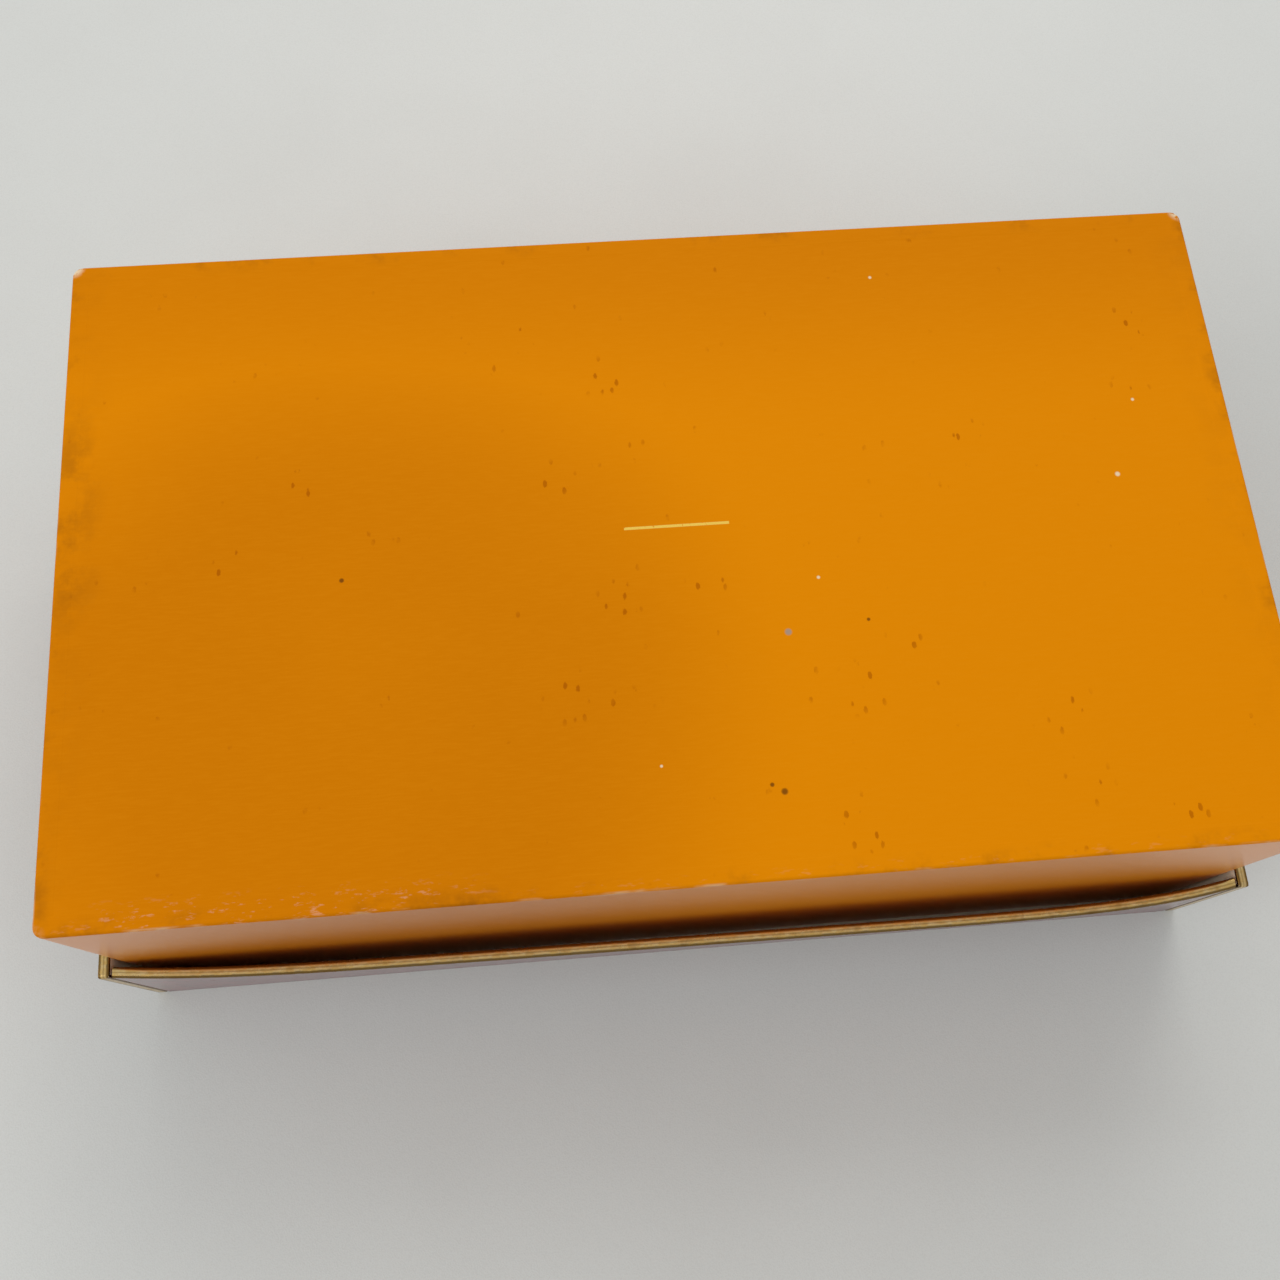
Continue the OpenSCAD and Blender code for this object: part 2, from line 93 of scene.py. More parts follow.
MIDDLE_Y = (CASE_LOW.y + CASE_HIGH.y) / 2
HALF_W = (CASE_HIGH.x - CASE_LOW.x) / 2
HALF_D = (CASE_HIGH.y - CASE_LOW.y) / 2
PAPER = LID_HIGH.z
BOARD = WALL_HIGH.x - WALL_LOW.x
WALL = BOARD + 2 * PAPER
FLOOR_Z = CASE_HIGH.z - WALL
FRONT_Y = TRIM_LOW.y
HEAD_R = (HEAD_HIGH.x - HEAD_LOW.x) / 2
# The jack's own frame: zero is inside the case's bottom, and +Z is the way it springs.
HEAD_UP = FLOOR_Z - (HEAD_LOW.z + HEAD_R)
RUFF_UP = FLOOR_Z - RUFF_HIGH.z
RUFF_T = RUFF_HIGH.z - RUFF_LOW.z
ARM_UP = FLOOR_Z - (PLATE_LOW.z + PLATE_HIGH.z) / 2


def to_case(points):
    """Turns points from the jack's own frame into the upturned case: half a turn about Y."""
    turned = np.array(points, float)
    turned[..., 0] *= -1
    turned[..., 1] += MIDDLE_Y
    turned[..., 2] = FLOOR_Z - turned[..., 2]
    return turned


# ---- Shader maths --------------------------------------------------------------

class Val:
    """A socket that Python's operators work on: each one adds a Math node."""

    def __init__(self, paint, socket):
        self.paint = paint
        self.socket = socket

    def maths(self, operation, *values):
        """A Math node of that operation over numbers and other sockets."""
        slots = dict(enumerate(values))
        return self.paint.node("ShaderNodeMath", {"operation": operation}, slots)

    def __add__(self, other):
        return self.maths("ADD", self, other)

    def __sub__(self, other):
        return self.maths("SUBTRACT", self, other)

    def __rsub__(self, other):
        return self.maths("SUBTRACT", other, self)

    def __mul__(self, other):
        return self.maths("MULTIPLY", self, other)

    def __pow__(self, other):
        return self.maths("POWER", self, other)

    def __abs__(self):
        return self.maths("ABSOLUTE", self)

    __radd__ = __add__
    __rmul__ = __mul__

    def least(self, other):
        return self.maths("MINIMUM", self, other)

    def most(self, other):
        return self.maths("MAXIMUM", self, other)

    def wave(self):
        return self.maths("SINE", self)

    def rise(self, low, high):
        """0 below low, 1 above high, and smooth between them; falls where low is above high."""
        falls = low > high
        grown = self.paint.node(
            "ShaderNodeMapRange",
            {"interpolation_type": "SMOOTHSTEP"},
            {"Value": self, "From Min": min(low, high), "From Max": max(low, high)},
        )
        return 1 - grown if falls else grown


class Paint:
    """One material while it is mixed, with its shader and its patterns."""

    def __init__(self, name):
        self.material = bpy.data.materials.new(name)
        self.material.use_nodes = True
        self.tree = self.material.node_tree
        self.tree.nodes.clear()
        self.shader = self.tree.nodes.new("ShaderNodeBsdfPrincipled")
        end = self.tree.nodes.new("ShaderNodeOutputMaterial")
        self.tree.links.new(self.shader.outputs[0], end.inputs[0])
        self.place = self.node("ShaderNodeTexCoord", out="Object")
        self.axes = {}

    def plug(self, socket, value):
        """Links a Val to a socket, or sets a colour or a number on it."""
        if isinstance(value, Val):
            self.tree.links.new(value.socket, socket)
        elif socket.type == "RGBA":
            socket.default_value = (*value, 1)
        else:
            socket.default_value = value

    def node(self, kind, settings=None, values=None, out=0):
        """Adds a node: its settings first, then the values or links of its sockets."""
        made = self.tree.nodes.new(kind)
        for name, value in (settings or {}).items():
            setattr(made, name, value)
        for name, value in (values or {}).items():
            self.plug(made.inputs[name], value)
        return Val(self, made.outputs[out])

    def axis(self, letter):
        """The X, Y or Z place on the piece, in metres."""
        if letter not in self.axes:
            self.axes[letter] = self.node(
                "ShaderNodeSeparateXYZ", None, {0: self.place}, out="XYZ".index(letter))
        return self.axes[letter]

    def moved(self, size, stretch=(1, 1, 1), seed=0):
        """Coordinates in units of size, drawn out by stretch and moved by seed."""
        scale = tuple(1 / (size * s) for s in stretch)
        return self.node("ShaderNodeMapping", None, {
            "Vector": self.place, "Location": (seed * 3.7, seed * 1.9, seed * 5.3), "Scale": scale})

    def noise(self, size, detail=2.0, stretch=(1, 1, 1), seed=0, rough=0.55):
        """Soft cloudy noise whose blots are about size across."""
        return self.node("ShaderNodeTexNoise", None, {
            "Vector": self.moved(size, stretch, seed), "Scale": 1.0, "Detail": detail,
            "Roughness": rough})

    def cells(self, size, stretch=(1, 1, 1), seed=0):
        """Distance from the nearest of many scattered points, about size apart."""
        return self.node("ShaderNodeTexVoronoi", None, {
            "Vector": self.moved(size, stretch, seed), "Scale": 1.0}, out="Distance")

    def thread(self, way):
        """The place on the piece's own UV map: 0 is the way across it, 1 the way along."""
        flat = self.node("ShaderNodeUVMap", {"uv_map": "thread"})
        return self.node("ShaderNodeSeparateXYZ", None, {0: flat}, out=way)

    def mix(self, share, under, over):
        """The under colour where share is 0, and the over colour where it is 1."""
        return self.node("ShaderNodeMix", {"data_type": "RGBA", "clamp_factor": True}, {
            0: share, 6: under, 7: over}, out=2)

    def done(self, colour, roughness, height=None, depth=0.2 * MM, **fixed):
        """Plugs colour, roughness and bump height, sets the other sockets, returns the material."""
        self.plug(self.shader.inputs["Base Color"], colour)
        self.plug(self.shader.inputs["Roughness"], roughness)
        for name, value in fixed.items():
            self.plug(self.shader.inputs[name.replace("_", " ")], value)
        if height is not None:
            bump = self.node("ShaderNodeBump", None, {"Distance": depth, "Height": height})
            self.plug(self.shader.inputs["Normal"], bump)
        return self.material


def spot(paint, x, y, radius):
    """1 in the middle of a round mark on the case's bottom, fading to 0 at its edge."""
    dx = paint.axis("X") - x * MM
    dy = paint.axis("Y") - (MIDDLE_Y + y * MM)
    return (dx * dx + dy * dy).rise((radius * MM) ** 2, (0.35 * radius * MM) ** 2)


def spots(paint, marks):
    """1 in the middle of any of several round marks."""
    union = spot(paint, *marks[0])
    for mark in marks[1:]:
        union = union.most(spot(paint, *mark))
    return union


# ---- Finishes ------------------------------------------------------------------

# Marks on the case's bottom, in millimetres from its middle: x, y, radius.
CHIPS = [(128, 10, 0.9), (137, 33, 0.6), (67, 78, 0.6), (40, -15, 0.6), (-7, -64, 0.5)]
GREY_CHIP = (30, -30, 1.2)
BAR_X, BAR_Y, BAR_W, BAR_D = 3 * MM, MIDDLE_Y + 2.8 * MM, 29 * MM, 0.9 * MM
DENTS = [(21, -71, 0.7), (24, -73, 1.1), (-88, -7, 0.8), (52, -28, 0.6)]
SMUDGES = [
    (87, 24, 8), (-29, -44, 9), (-14, -48, 7), (139, 56, 9), (137, 36, 7), (102, -57, 9),
    (44, -83, 10), (48, -47, 9), (-13, 50, 8), (-35, 64, 6), (-14, -18, 8), (61, -34, 6),
    (103, -76, 8), (-29, 19, 7), (-119, 0, 8), (10, -14, 7), (127, -86, 8), (-97, 22, 9),
]


def orange_paper(look):
    """Orange paper with a soft sheen, rubbed at its edges and smudged on the case's bottom, with
    painted shade laid over it.
    """
    paint = Paint("orange_paper")
    x, y, z = (paint.axis(letter) for letter in "XYZ")
    top = z.rise(CASE_HIGH.z - 1.2 * MM, CASE_HIGH.z - 0.6 * MM)
    edge_x = HALF_W - abs(x)
    edge_y = HALF_D - abs(y - MIDDLE_Y)
    front = y - CASE_LOW.y
    broad = paint.noise(90 * MM, 2, seed=1)
    patch = paint.noise(11 * MM, 4, seed=2, rough=0.65)
    fleck = paint.cells(4.2 * MM, (0.7, 1.3, 1), seed=3).rise(0.34, 0.08)
    mark = paint.noise(0.9 * MM, 4, (0.7, 1.6, 1), seed=3, rough=0.75)
    grain = paint.noise(0.35 * MM, 2, (6, 1, 1), seed=4)
    fibre = paint.noise(0.5 * MM, 3, (9, 0.8, 1), seed=5)
    # Painted shade: a broad soft shadow left of the middle of the bottom, and darkening towards the
    # back.
    painted_shade = spot(paint, -90, -42, 126) * (0.65 + broad * 0.6)
    painted_shade = painted_shade.most(y.rise(30 * MM, 100 * MM) * 0.75)
    colour = paint.mix(painted_shade, look.orange, look.orange_shade)
    colour = paint.mix(fibre.rise(0.35, 0.75) * 0.10, colour, look.orange_light)
    # Small brown smudges: a fine pattern let through in named places and a few random ones.
    place = spots(paint, SMUDGES).most(patch.rise(0.58, 0.72) * 0.7)
    smudged = (fleck + mark * 1.6 - 1.15).rise(0.0, 0.45) * place * top
    colour = paint.mix(smudged * 0.48, colour, look.fleck)
    # Grime that is thicker towards the edges of the bottom.
    left_grime = edge_x.rise(16 * MM, 2 * MM) * patch.rise(0.40, 0.66)
    edge_grime = edge_x.least(edge_y).rise(6 * MM, 0.2 * MM)
    edge_grime = edge_grime * paint.noise(17 * MM, 4, seed=6, rough=0.7).rise(0.48, 0.72)
    left_side = x.rise(0, -100 * MM) * y.rise(-20 * MM, 5 * MM) * y.rise(60 * MM, 35 * MM)
    grime = (left_grime * (0.08 + left_side * 0.30)).most(edge_grime * 0.50) * top
    colour = paint.mix(grime * 0.7, colour, look.smudge)
    # Pale pinkish rubs along the front edge, most on the left.
    rub_zone = front.rise(9 * MM, 3 * MM) * x.rise(-45 * MM, -75 * MM) * x.rise(-160 * MM, -140 * MM)
    rub_zone = (rub_zone * 0.8).most(front.rise(4 * MM, 1 * MM) * 0.22)
    rubs = paint.noise(1.5 * MM, 4, (2.6, 0.8, 1), seed=7, rough=0.7).rise(0.57, 0.68) * rub_zone * top
    colour = paint.mix(rubs * 0.45, colour, look.rub)
    # Paper worn through to white at chips, and on the corners' tips.
    chips = spots(paint, CHIPS) * top
    corner = (edge_x * edge_x + edge_y * edge_y) ** 0.5
    upper = z.rise(CASE_HIGH.z - 4 * MM, CASE_HIGH.z)
    tips = corner.rise(4.2 * MM, 1.9 * MM) * upper * (0.1 + y.rise(0, 40 * MM) * 0.9)
    tips = tips * paint.noise(1.1 * MM, 3, seed=9).rise(0.36, 0.52)
    line = edge_x.least(edge_y).rise(0.7 * MM, 0.15 * MM) * upper
    line = line * paint.noise(5 * MM, 3, (3, 3, 1), seed=10).rise(0.55, 0.72) * 0.55
    worn = chips.most(tips).most(line)
    colour = paint.mix(worn * 0.85, colour, look.bare_paper)
    colour = paint.mix(spot(paint, *GREY_CHIP) * top * 0.8, colour, look.grey_chip)
    dents = spots(paint, DENTS) * top
    colour = paint.mix(dents * 0.75, colour, look.smudge)
    # One plain bar of gold foil stamped in the middle of the bottom, a little worn.
    bar = abs(x - BAR_X).rise(BAR_W / 2, BAR_W / 2 - 0.1 * MM)
    bar = bar * abs(y - BAR_Y).rise(BAR_D / 2, BAR_D / 2 - 0.1 * MM) * top
    bar = bar * (1 - paint.noise(1.1 * MM, 3, seed=12).rise(0.62, 0.70) * 0.8)
    colour = paint.mix(bar, colour, look.stamp)
    # The turned-in paper shows through as a faint step inside the edges.
    turn_in = edge_x.least(edge_y).rise(5.2 * MM, 4.8 * MM) * top
    height = turn_in * 0.25 + grain * 0.10 + fibre * 0.12 - dents * 1.2 - worn * 0.5
    height = height + paint.noise(14 * MM, 2, seed=11) * 0.9
    rough = 0.55 + broad * 0.10 + smudged * 0.1 + worn * 0.2 - bar * 0.15
    return paint.done(
        colour, rough, height, 0.12 * MM, Metallic=bar * 0.3, Specular_IOR_Level=0.02,
        Coat_Weight=1 - top, Coat_Roughness=0.28, Coat_IOR=1.8)


def glossy_paper(look):
    """Deep red coated paper: a clear gloss over a faintly mottled colour, with fine scratches."""
    paint = Paint("burgundy_paper")
    mottle = paint.noise(7 * MM, 4, seed=21)
    fine = paint.noise(0.6 * MM, 3, seed=22)
    scratch = paint.noise(0.35 * MM, 2, (14, 14, 1), seed=23).rise(0.70, 0.80)
    rub = paint.noise(4 * MM, 4, seed=24, rough=0.7).rise(0.62, 0.74)
    z = paint.axis("Z")
    foot = z.rise(2.2 * MM, 0.4 * MM) * paint.noise(1.4 * MM, 3, (3, 1, 1), seed=25).rise(0.40, 0.62)
    colour = paint.mix(mottle.rise(0.3, 0.7), look.burgundy, look.burgundy_deep)
    colour = paint.mix(scratch * 0.22, colour, look.burgundy_worn)
    colour = paint.mix((rub * 0.25).most(foot * 0.5), colour, look.burgundy_worn)
    height = fine * 0.25 + mottle * 0.6 - scratch * 0.15
    return paint.done(
        colour, 0.34 + rub * 0.25 + foot * 0.2, height, 0.10 * MM, Specular_IOR_Level=0.5,
        Coat_Weight=0.65, Coat_Roughness=0.18)


def gold_foil(look):
    """Gold foil on paper: bright, a little crinkled, dulled brown where fingers rub it, with painted
    shade on its shoulders and down its middle.
    """
    paint = Paint("gold_foil")
    across = abs(paint.thread(0))
    crinkle = paint.noise(1.3 * MM, 4, (1.6, 1, 1), seed=31)
    dull = paint.noise(5 * MM, 3, seed=32).rise(0.52, 0.72)
    flake = paint.cells(14 * MM, seed=33).rise(0.035, 0.02)
    colour = paint.mix(crinkle.rise(0.35, 0.7) * 0.6, look.gold, look.gold_light)
    colour = paint.mix(dull * 0.30, colour, look.gold_dull)
    # Painted shade: the foil darkened on its rounded shoulders and along a line down its middle.
    shoulder = (across + crinkle * 0.4).rise(0.55, 0.90)
    groove = (across + crinkle * 0.2).rise(0.30, 0.16)
    colour = paint.mix((shoulder * 0.85).most(groove * 0.35), colour, look.gold_shade)
    colour = paint.mix(flake * 0.6, colour, look.burgundy_worn)
    return paint.done(
        colour, 0.26 + dull * 0.15 + flake * 0.3, crinkle, 0.05 * MM, Metallic=1 - flake * 0.7)


def lining_paper(look):
    """Cream uncoated paper with short fibres, a soft mottle and a few specks."""
    paint = Paint("cream_lining")
    mottle = paint.noise(25 * MM, 3, seed=41)
    fibre = paint.noise(0.5 * MM, 3, (5, 5, 1), seed=42)
    speck = paint.cells(9 * MM, seed=43).rise(0.045, 0.02)
    colour = paint.mix(mottle.rise(0.3, 0.75) * 0.45, look.cream, look.cream_deep)
    colour = paint.mix(fibre.rise(0.55, 0.8) * 0.30, colour, look.cream_light)
    colour = paint.mix(speck * 0.5, colour, look.smudge)
    return paint.done(colour, 0.72 + fibre * 0.12, fibre + mottle * 0.5, 0.12 * MM,
                      Specular_IOR_Level=0.3)


def grey_board(look):
    """Pressed grey board with dark and pale fibres."""
    paint = Paint("greyboard")
    fibre = paint.noise(0.7 * MM, 4, (3, 1, 1), seed=51)
    fleck = paint.cells(1.8 * MM, seed=52).rise(0.20, 0.08)
    colour = paint.mix(fibre.rise(0.35, 0.7), look.board, look.board_light)
    colour = paint.mix(fleck * 0.4, colour, look.smudge)
    return paint.done(colour, 0.85, fibre, 0.2 * MM)


def woven(warp, weft, size):
    """Height of a plain weave with threads of the given size: two crossed rows of ridges."""
    turns = TAU / size
    return (warp * turns).wave() * (weft * turns).wave() * 0.5 + 0.5


def book_cloth(look):
    """Fine bookbinding cloth in the lid's red."""
    paint = Paint("hinge_cloth")
    weave = woven(paint.axis("X"), paint.axis("Z"), 0.9 * MM)
    fade = paint.noise(6 * MM, 3, seed=61).rise(0.45, 0.75)
    colour = paint.mix(weave.rise(0.2, 0.9) * 0.35, look.burgundy_deep, look.burgundy_worn)
    colour = paint.mix(fade * 0.35, colour, look.burgundy_worn)
    return paint.done(colour, 0.80, weave, 0.10 * MM, Sheen_Weight=0.3)


def thread_cloth(name, base, shade, light, size, stripe=None):
    """Cotton with threads that follow the piece's own UV map, and an optional woven stripe."""
    paint = Paint(name)
    across = paint.thread(0)
    weave = woven(across, paint.thread(1), size)
    fade = paint.noise(9 * MM, 3, seed=71)
    fuzz = paint.noise(0.8 * MM, 3, seed=72)
    colour = paint.mix(fade.rise(0.3, 0.75) * 0.6, base, shade)
    if stripe:
        width, stripe_colour = stripe
        band = (across * (TAU / width)).wave().rise(0.78, 0.90)
        colour = paint.mix(band * 0.9, colour, stripe_colour)
    colour = paint.mix(weave.rise(0.45, 1.0) * 0.30, colour, light)
    return paint.done(colour, 0.78 + fuzz * 0.12, weave * 0.7 + fuzz * 0.6, 0.12 * MM,
                      Sheen_Weight=0.35, Sheen_Roughness=0.5, Specular_IOR_Level=0.25)


def felt(name, base, shade):
    """Wool felt: matted fibres, a little fuzz and pilling."""
    paint = Paint(name)
    mat = paint.noise(0.9 * MM, 5, seed=81, rough=0.7)
    clump = paint.noise(5 * MM, 3, seed=82)
    colour = paint.mix(mat.rise(0.38, 0.68) * 0.7, base, shade)
    colour = paint.mix(clump.rise(0.4, 0.75) * 0.35, colour, shade)
    return paint.done(colour, 0.92, mat + clump * 0.6, 0.35 * MM, Sheen_Weight=0.5,
                      Sheen_Roughness=0.4, Specular_IOR_Level=0.2)


def beech(look):
    """Sanded beech: long fine grain with short dark flecks."""
    paint = Paint("beech")
    rings = paint.noise(7 * MM, 3, (5, 1, 1), seed=91)
    grain = paint.noise(0.8 * MM, 3, (14, 1, 1), seed=92)
    fleck = paint.cells(2.4 * MM, (3.2, 0.8, 0.8), seed=93).rise(0.16, 0.07)
    colour = paint.mix(rings.rise(0.3, 0.7), look.wood, look.wood_deep)
    colour = paint.mix(grain.rise(0.45, 0.75) * 0.4, colour, look.wood_deep)
    colour = paint.mix(fleck * 0.45, colour, look.wood_dark)
    return paint.done(colour, 0.52 + grain * 0.1, grain, 0.08 * MM, Specular_IOR_Level=0.4)


def steel(name, base, roughness, drawn):
    """Plated or drawn steel with fine lines and slight clouding."""
    paint = Paint(name)
    lines = paint.noise(0.4 * MM, 2, drawn, seed=101)
    cloud = paint.noise(4 * MM, 3, seed=102)
    colour = paint.mix(cloud.rise(0.3, 0.75) * 0.5, base, tone(120, 120, 124))
    return paint.done(colour, roughness + cloud * 0.15, lines, 0.03 * MM, Metallic=1.0)


def enamel(name, base, shade, chip, roughness=0.28):
    """Brushed-on enamel over wood: soft brush marks, faint crazing and small chips."""
    paint = Paint(name)
    brush = paint.noise(1.6 * MM, 3, (1, 1, 5), seed=111)
    cloud = paint.noise(12 * MM, 3, seed=112)
    wear = paint.noise(3.2 * MM, 4, seed=113, rough=0.7).rise(0.70, 0.76)
    colour = paint.mix(cloud.rise(0.3, 0.75) * 0.5, base, shade)
    colour = paint.mix(wear * 0.5, colour, chip)
    return paint.done(colour, roughness + brush * 0.12 + wear * 0.3, brush - wear * 0.6, 0.08 * MM,
                      Coat_Weight=0.35, Coat_Roughness=0.15)


def face_paint(look):
    """Painted skin: two soft warm tones, brush marks, and chips that show the wood."""
    paint = Paint("skin_paint")
    brush = paint.noise(2.2 * MM, 3, (1, 1, 3), seed=121)
    cloud = paint.noise(15 * MM, 3, seed=122)
    wear = paint.noise(2.6 * MM, 4, seed=123, rough=0.7).rise(0.72, 0.78)
    colour = paint.mix(cloud.rise(0.3, 0.75) * 0.5, look.skin, look.skin_warm)
    colour = paint.mix(wear * 0.35, colour, look.wood)
    return paint.done(colour, 0.34 + brush * 0.12 + wear * 0.25, brush, 0.06 * MM,
                      Coat_Weight=0.25, Coat_Roughness=0.2)


def wool(look):
    """Curled wool yarn in two oranges."""
    paint = Paint("hair_wool")
    curl = paint.noise(0.9 * MM, 4, seed=131, rough=0.7)
    colour = paint.mix(curl.rise(0.35, 0.7), look.hair_deep, look.hair)
    return paint.done(colour, 0.95, curl, 0.5 * MM, Sheen_Weight=0.5)


def braid(look):
    """Gold thread braid: slanted strands."""
    paint = Paint("band_braid")
    strand = paint.noise(0.7 * MM, 2, (2, 2, 1), seed=141)
    colour = paint.mix(strand.rise(0.35, 0.7), look.gold_dull, look.gold_light)
    return paint.done(colour, 0.42, strand, 0.25 * MM, Metallic=0.55)


def bell_brass(look):
    """Polished brass with a light tarnish in soft random patches."""
    paint = Paint("bell_brass")
    cloud = paint.noise(2.5 * MM, 3, seed=151)
    colour = paint.mix(cloud.rise(0.4, 0.75) * 0.6, look.brass, look.gold_dull)
    return paint.done(colour, 0.18 + cloud * 0.18, cloud, 0.03 * MM, Metallic=1.0)


def mix_finishes(look, jack):
    """Every slot's material, by the slot's name."""
    return {
        "orange_paper": orange_paper(look),
        "burgundy_paper": glossy_paper(look),
        "gold_foil": gold_foil(look),
        "cream_lining": lining_paper(look),
        "greyboard": grey_board(look),
        "hinge_cloth": book_cloth(look),
        "bright_steel": steel("bright_steel", tone(205, 207, 210), 0.22, (1, 1, 8)),
        "spring_steel": steel("spring_steel", tone(165, 167, 172), 0.30, (8, 8, 1)),
        "beech": beech(look),
        "gown_cloth": thread_cloth("gown_cloth", jack.gown, jack.gown_shade, jack.gown_light,
                                   0.9 * MM, (15 * MM, jack.gown_stripe)),
        "sleeve_cloth": thread_cloth("sleeve_cloth", jack.sleeve, jack.sleeve_shade,
                                     jack.sleeve_light, 0.8 * MM),
        "ruff_cloth": thread_cloth("ruff_cloth", jack.ruff, jack.ruff_shade, jack.ruff_light,
                                   0.7 * MM),
        "skin_paint": face_paint(jack),
        "black_paint": enamel("black_paint", tone(26, 22, 24), tone(34, 28, 28),
                              tone(90, 70, 60), 0.15),
        "red_paint": enamel("red_paint", tone(196, 36, 30), tone(160, 24, 24), tone(205, 160, 120)),
        "blush_paint": enamel("blush_paint", tone(232, 128, 106), tone(222, 108, 90),
                              tone(236, 180, 150), 0.4),
        "hair_wool": wool(jack),
        "hat_felt": felt("hat_felt", tone(124, 22, 44), tone(88, 12, 30)),
        "points_felt": felt("points_felt", tone(226, 134, 14), tone(190, 100, 8)),
        "band_braid": braid(look),
        "bell_brass": bell_brass(look),
    }


# ---- Mesh making ---------------------------------------------------------------

finishes = {}


def join(*columns):
    """Numbers or arrays as the columns of one array, each spread to the shape they share."""
    return np.stack(np.broadcast_arrays(*columns), -1)


def slot_of(name):
    """The material slot of a CAD node, from the frame's record."""
    for piece in frame["record"]["subparts"]:
        if piece["node"] == name:
            return piece["material_slot"]
    raise ValueError(f"the record has no node {name}")


def build(name, parts, slot, body=None, replaced=(), merge=0.004 * MM):
    """A piece from (points, faces) parts: doubles merged, outside out, finished and riding."""
    points = np.concatenate([p.reshape(-1, 3) for p, _ in parts])
    faces, start = [], 0
    for part_points, part_faces in parts:
        faces += [tuple(int(i) + start for i in face) for face in part_faces]
        start += len(part_points.reshape(-1, 3))
    mesh = bpy.data.meshes.new(name)
    mesh.from_pydata(points.tolist(), [], faces)
    kit = bmesh.new()
    kit.from_mesh(mesh)
    bmesh.ops.remove_doubles(kit, verts=kit.verts, dist=merge)
    bmesh.ops.dissolve_degenerate(kit, edges=kit.edges, dist=merge)
    bmesh.ops.recalc_face_normals(kit, faces=kit.faces)
    kit.to_mesh(mesh)
    kit.free()
    mesh.polygons.foreach_set("use_smooth", [True] * len(mesh.polygons))
    mesh.materials.append(finishes[slot])
    piece = bpy.data.objects.new(name, mesh)
    bpy.context.scene.collection.objects.link(piece)
    if replaced:
        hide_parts(*replaced)
    if body:
        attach(piece, body)
    return piece


def sharpen(piece, degrees=38):
    """Keeps edges steeper than the angle crisp."""
    piece.data.set_sharp_from_angle(angle=math.radians(degrees))


def grid(points, close_u=False, close_v=False):
    """Quads between the points of a (u, v) grid, going round where a side is closed."""
    nu, nv = points.shape[:2]
    i = np.arange(nu if close_u else nu - 1)[:, None]
    j = np.arange(nv if close_v else nv - 1)[None, :]
    i2, j2 = (i + 1) % nu, (j + 1) % nv
    corners = [i * nv + j, i2 * nv + j, i2 * nv + j2, i * nv + j2]
    faces = np.stack([np.broadcast_to(c, (i.size, j.size)) for c in corners], -1)
    return points, faces.reshape(-1, 4)


def swept(points):
    """A closed section carried along u, with its two ends capped by flat faces."""
    shape, faces = grid(points, close_v=True)
    nu, nv = points.shape[:2]
    ends = [tuple(range(nv)), tuple((nu - 1) * nv + k for k in range(nv))]
    return shape, list(faces) + ends


def arc(centre, radius, start, end, steps):
    """Points on an arc in a flat section, between two angles in degrees."""
    turn = np.radians(np.linspace(start, end, steps))
    return join(centre[0] + radius * np.cos(turn), centre[1] + radius * np.sin(turn))


def round_outline(per_long, per_short, per_corner):
    """Stations round a rectangle with round corners: two corner signs, a share and an angle."""
    signs = [(1, -1), (1, 1), (-1, 1), (-1, -1)]
    counts = [per_short, per_long, per_short, per_long]
    first, second, share, angle = [], [], [], []
    for k in range(4):
        turn = np.linspace(-90, 0, per_corner) + 90 * k
        side = np.linspace(0, 1, counts[k] + 2)[1:-1]
        first += [signs[k]] * (per_corner + counts[k])
        second += [signs[k]] * per_corner + [signs[(k + 1) % 4]] * counts[k]
        share += [0.0] * per_corner + list(side)
        angle += list(turn) + [90.0 * k] * counts[k]
    return np.array(first), np.array(second), np.array(share)[:, None], np.radians(angle)


def wrapped(half_w, half_d, radius, profile, stations):
    """A profile of (inset, height) pairs carried round a rectangle with round corners."""
    first, second, share, angle = stations
    inset, height = profile[:, 0], profile[:, 1]
    corner_r = np.maximum(radius - inset, 0)
    core = join(half_w - inset - corner_r, half_d - inset - corner_r)
    mixed = first * (1 - share) + second * share
    flat = mixed[:, None, :] * core[None, :, :]
    way = join(np.cos(angle), np.sin(angle))
    flat = flat + corner_r[None, :, None] * way[:, None, :]
    return join(flat[..., 0], flat[..., 1], height)


def tube(path, radii, sides=24, lobes=0, lobe_depth=0.0):
    """A round section carried along a path of points, with its own radius at each point.

    Lobes ridge the section, and both ends are drawn together to a point"""
    path, radii = np.array(path, float), np.array(radii, float)
    ahead = np.gradient(path, axis=0)
    ahead /= np.linalg.norm(ahead, axis=1)[:, None]
    helper = np.array([0.0, 1.0, 0.0])
    if abs(ahead @ helper).max() > 0.95:
        helper = np.array([0.0, 0.0, 1.0])
    side = np.cross(ahead, helper)
    side /= np.linalg.norm(side, axis=1)[:, None]
    up = np.cross(side, ahead)
    around = np.linspace(0, TAU, sides, endpoint=False)
    reach = radii[:, None] * (1 + lobe_depth * np.cos(lobes * around))
    points = (path[:, None, :] + reach[..., None] * (
        np.cos(around)[None, :, None] * side[:, None, :]
        + np.sin(around)[None, :, None] * up[:, None, :]))
    tips = [np.repeat(path[[k]][:, None, :], sides, axis=1) for k in (0, -1)]
    return grid(np.concatenate([tips[0], points, tips[1]]), close_v=True)


def smooth_path(knots, steps):
    """A soft curve through knots (place and radius columns): cubic between neighbours."""
    knots = np.array(knots, float)
    padded = np.vstack([2 * knots[0] - knots[1], knots, 2 * knots[-1] - knots[-2]])
    runs = []
    for k in range(len(knots) - 1):
        a, b, c, d = padded[k:k + 4]
        t = np.linspace(0, 1, steps, endpoint=k == len(knots) - 2)[:, None]
        runs.append(0.5 * (2 * b + (c - a) * t + (2 * a - 5 * b + 4 * c - d) * t ** 2
                           + (3 * b - a - 3 * c + d) * t ** 3))
    return np.concatenate(runs)


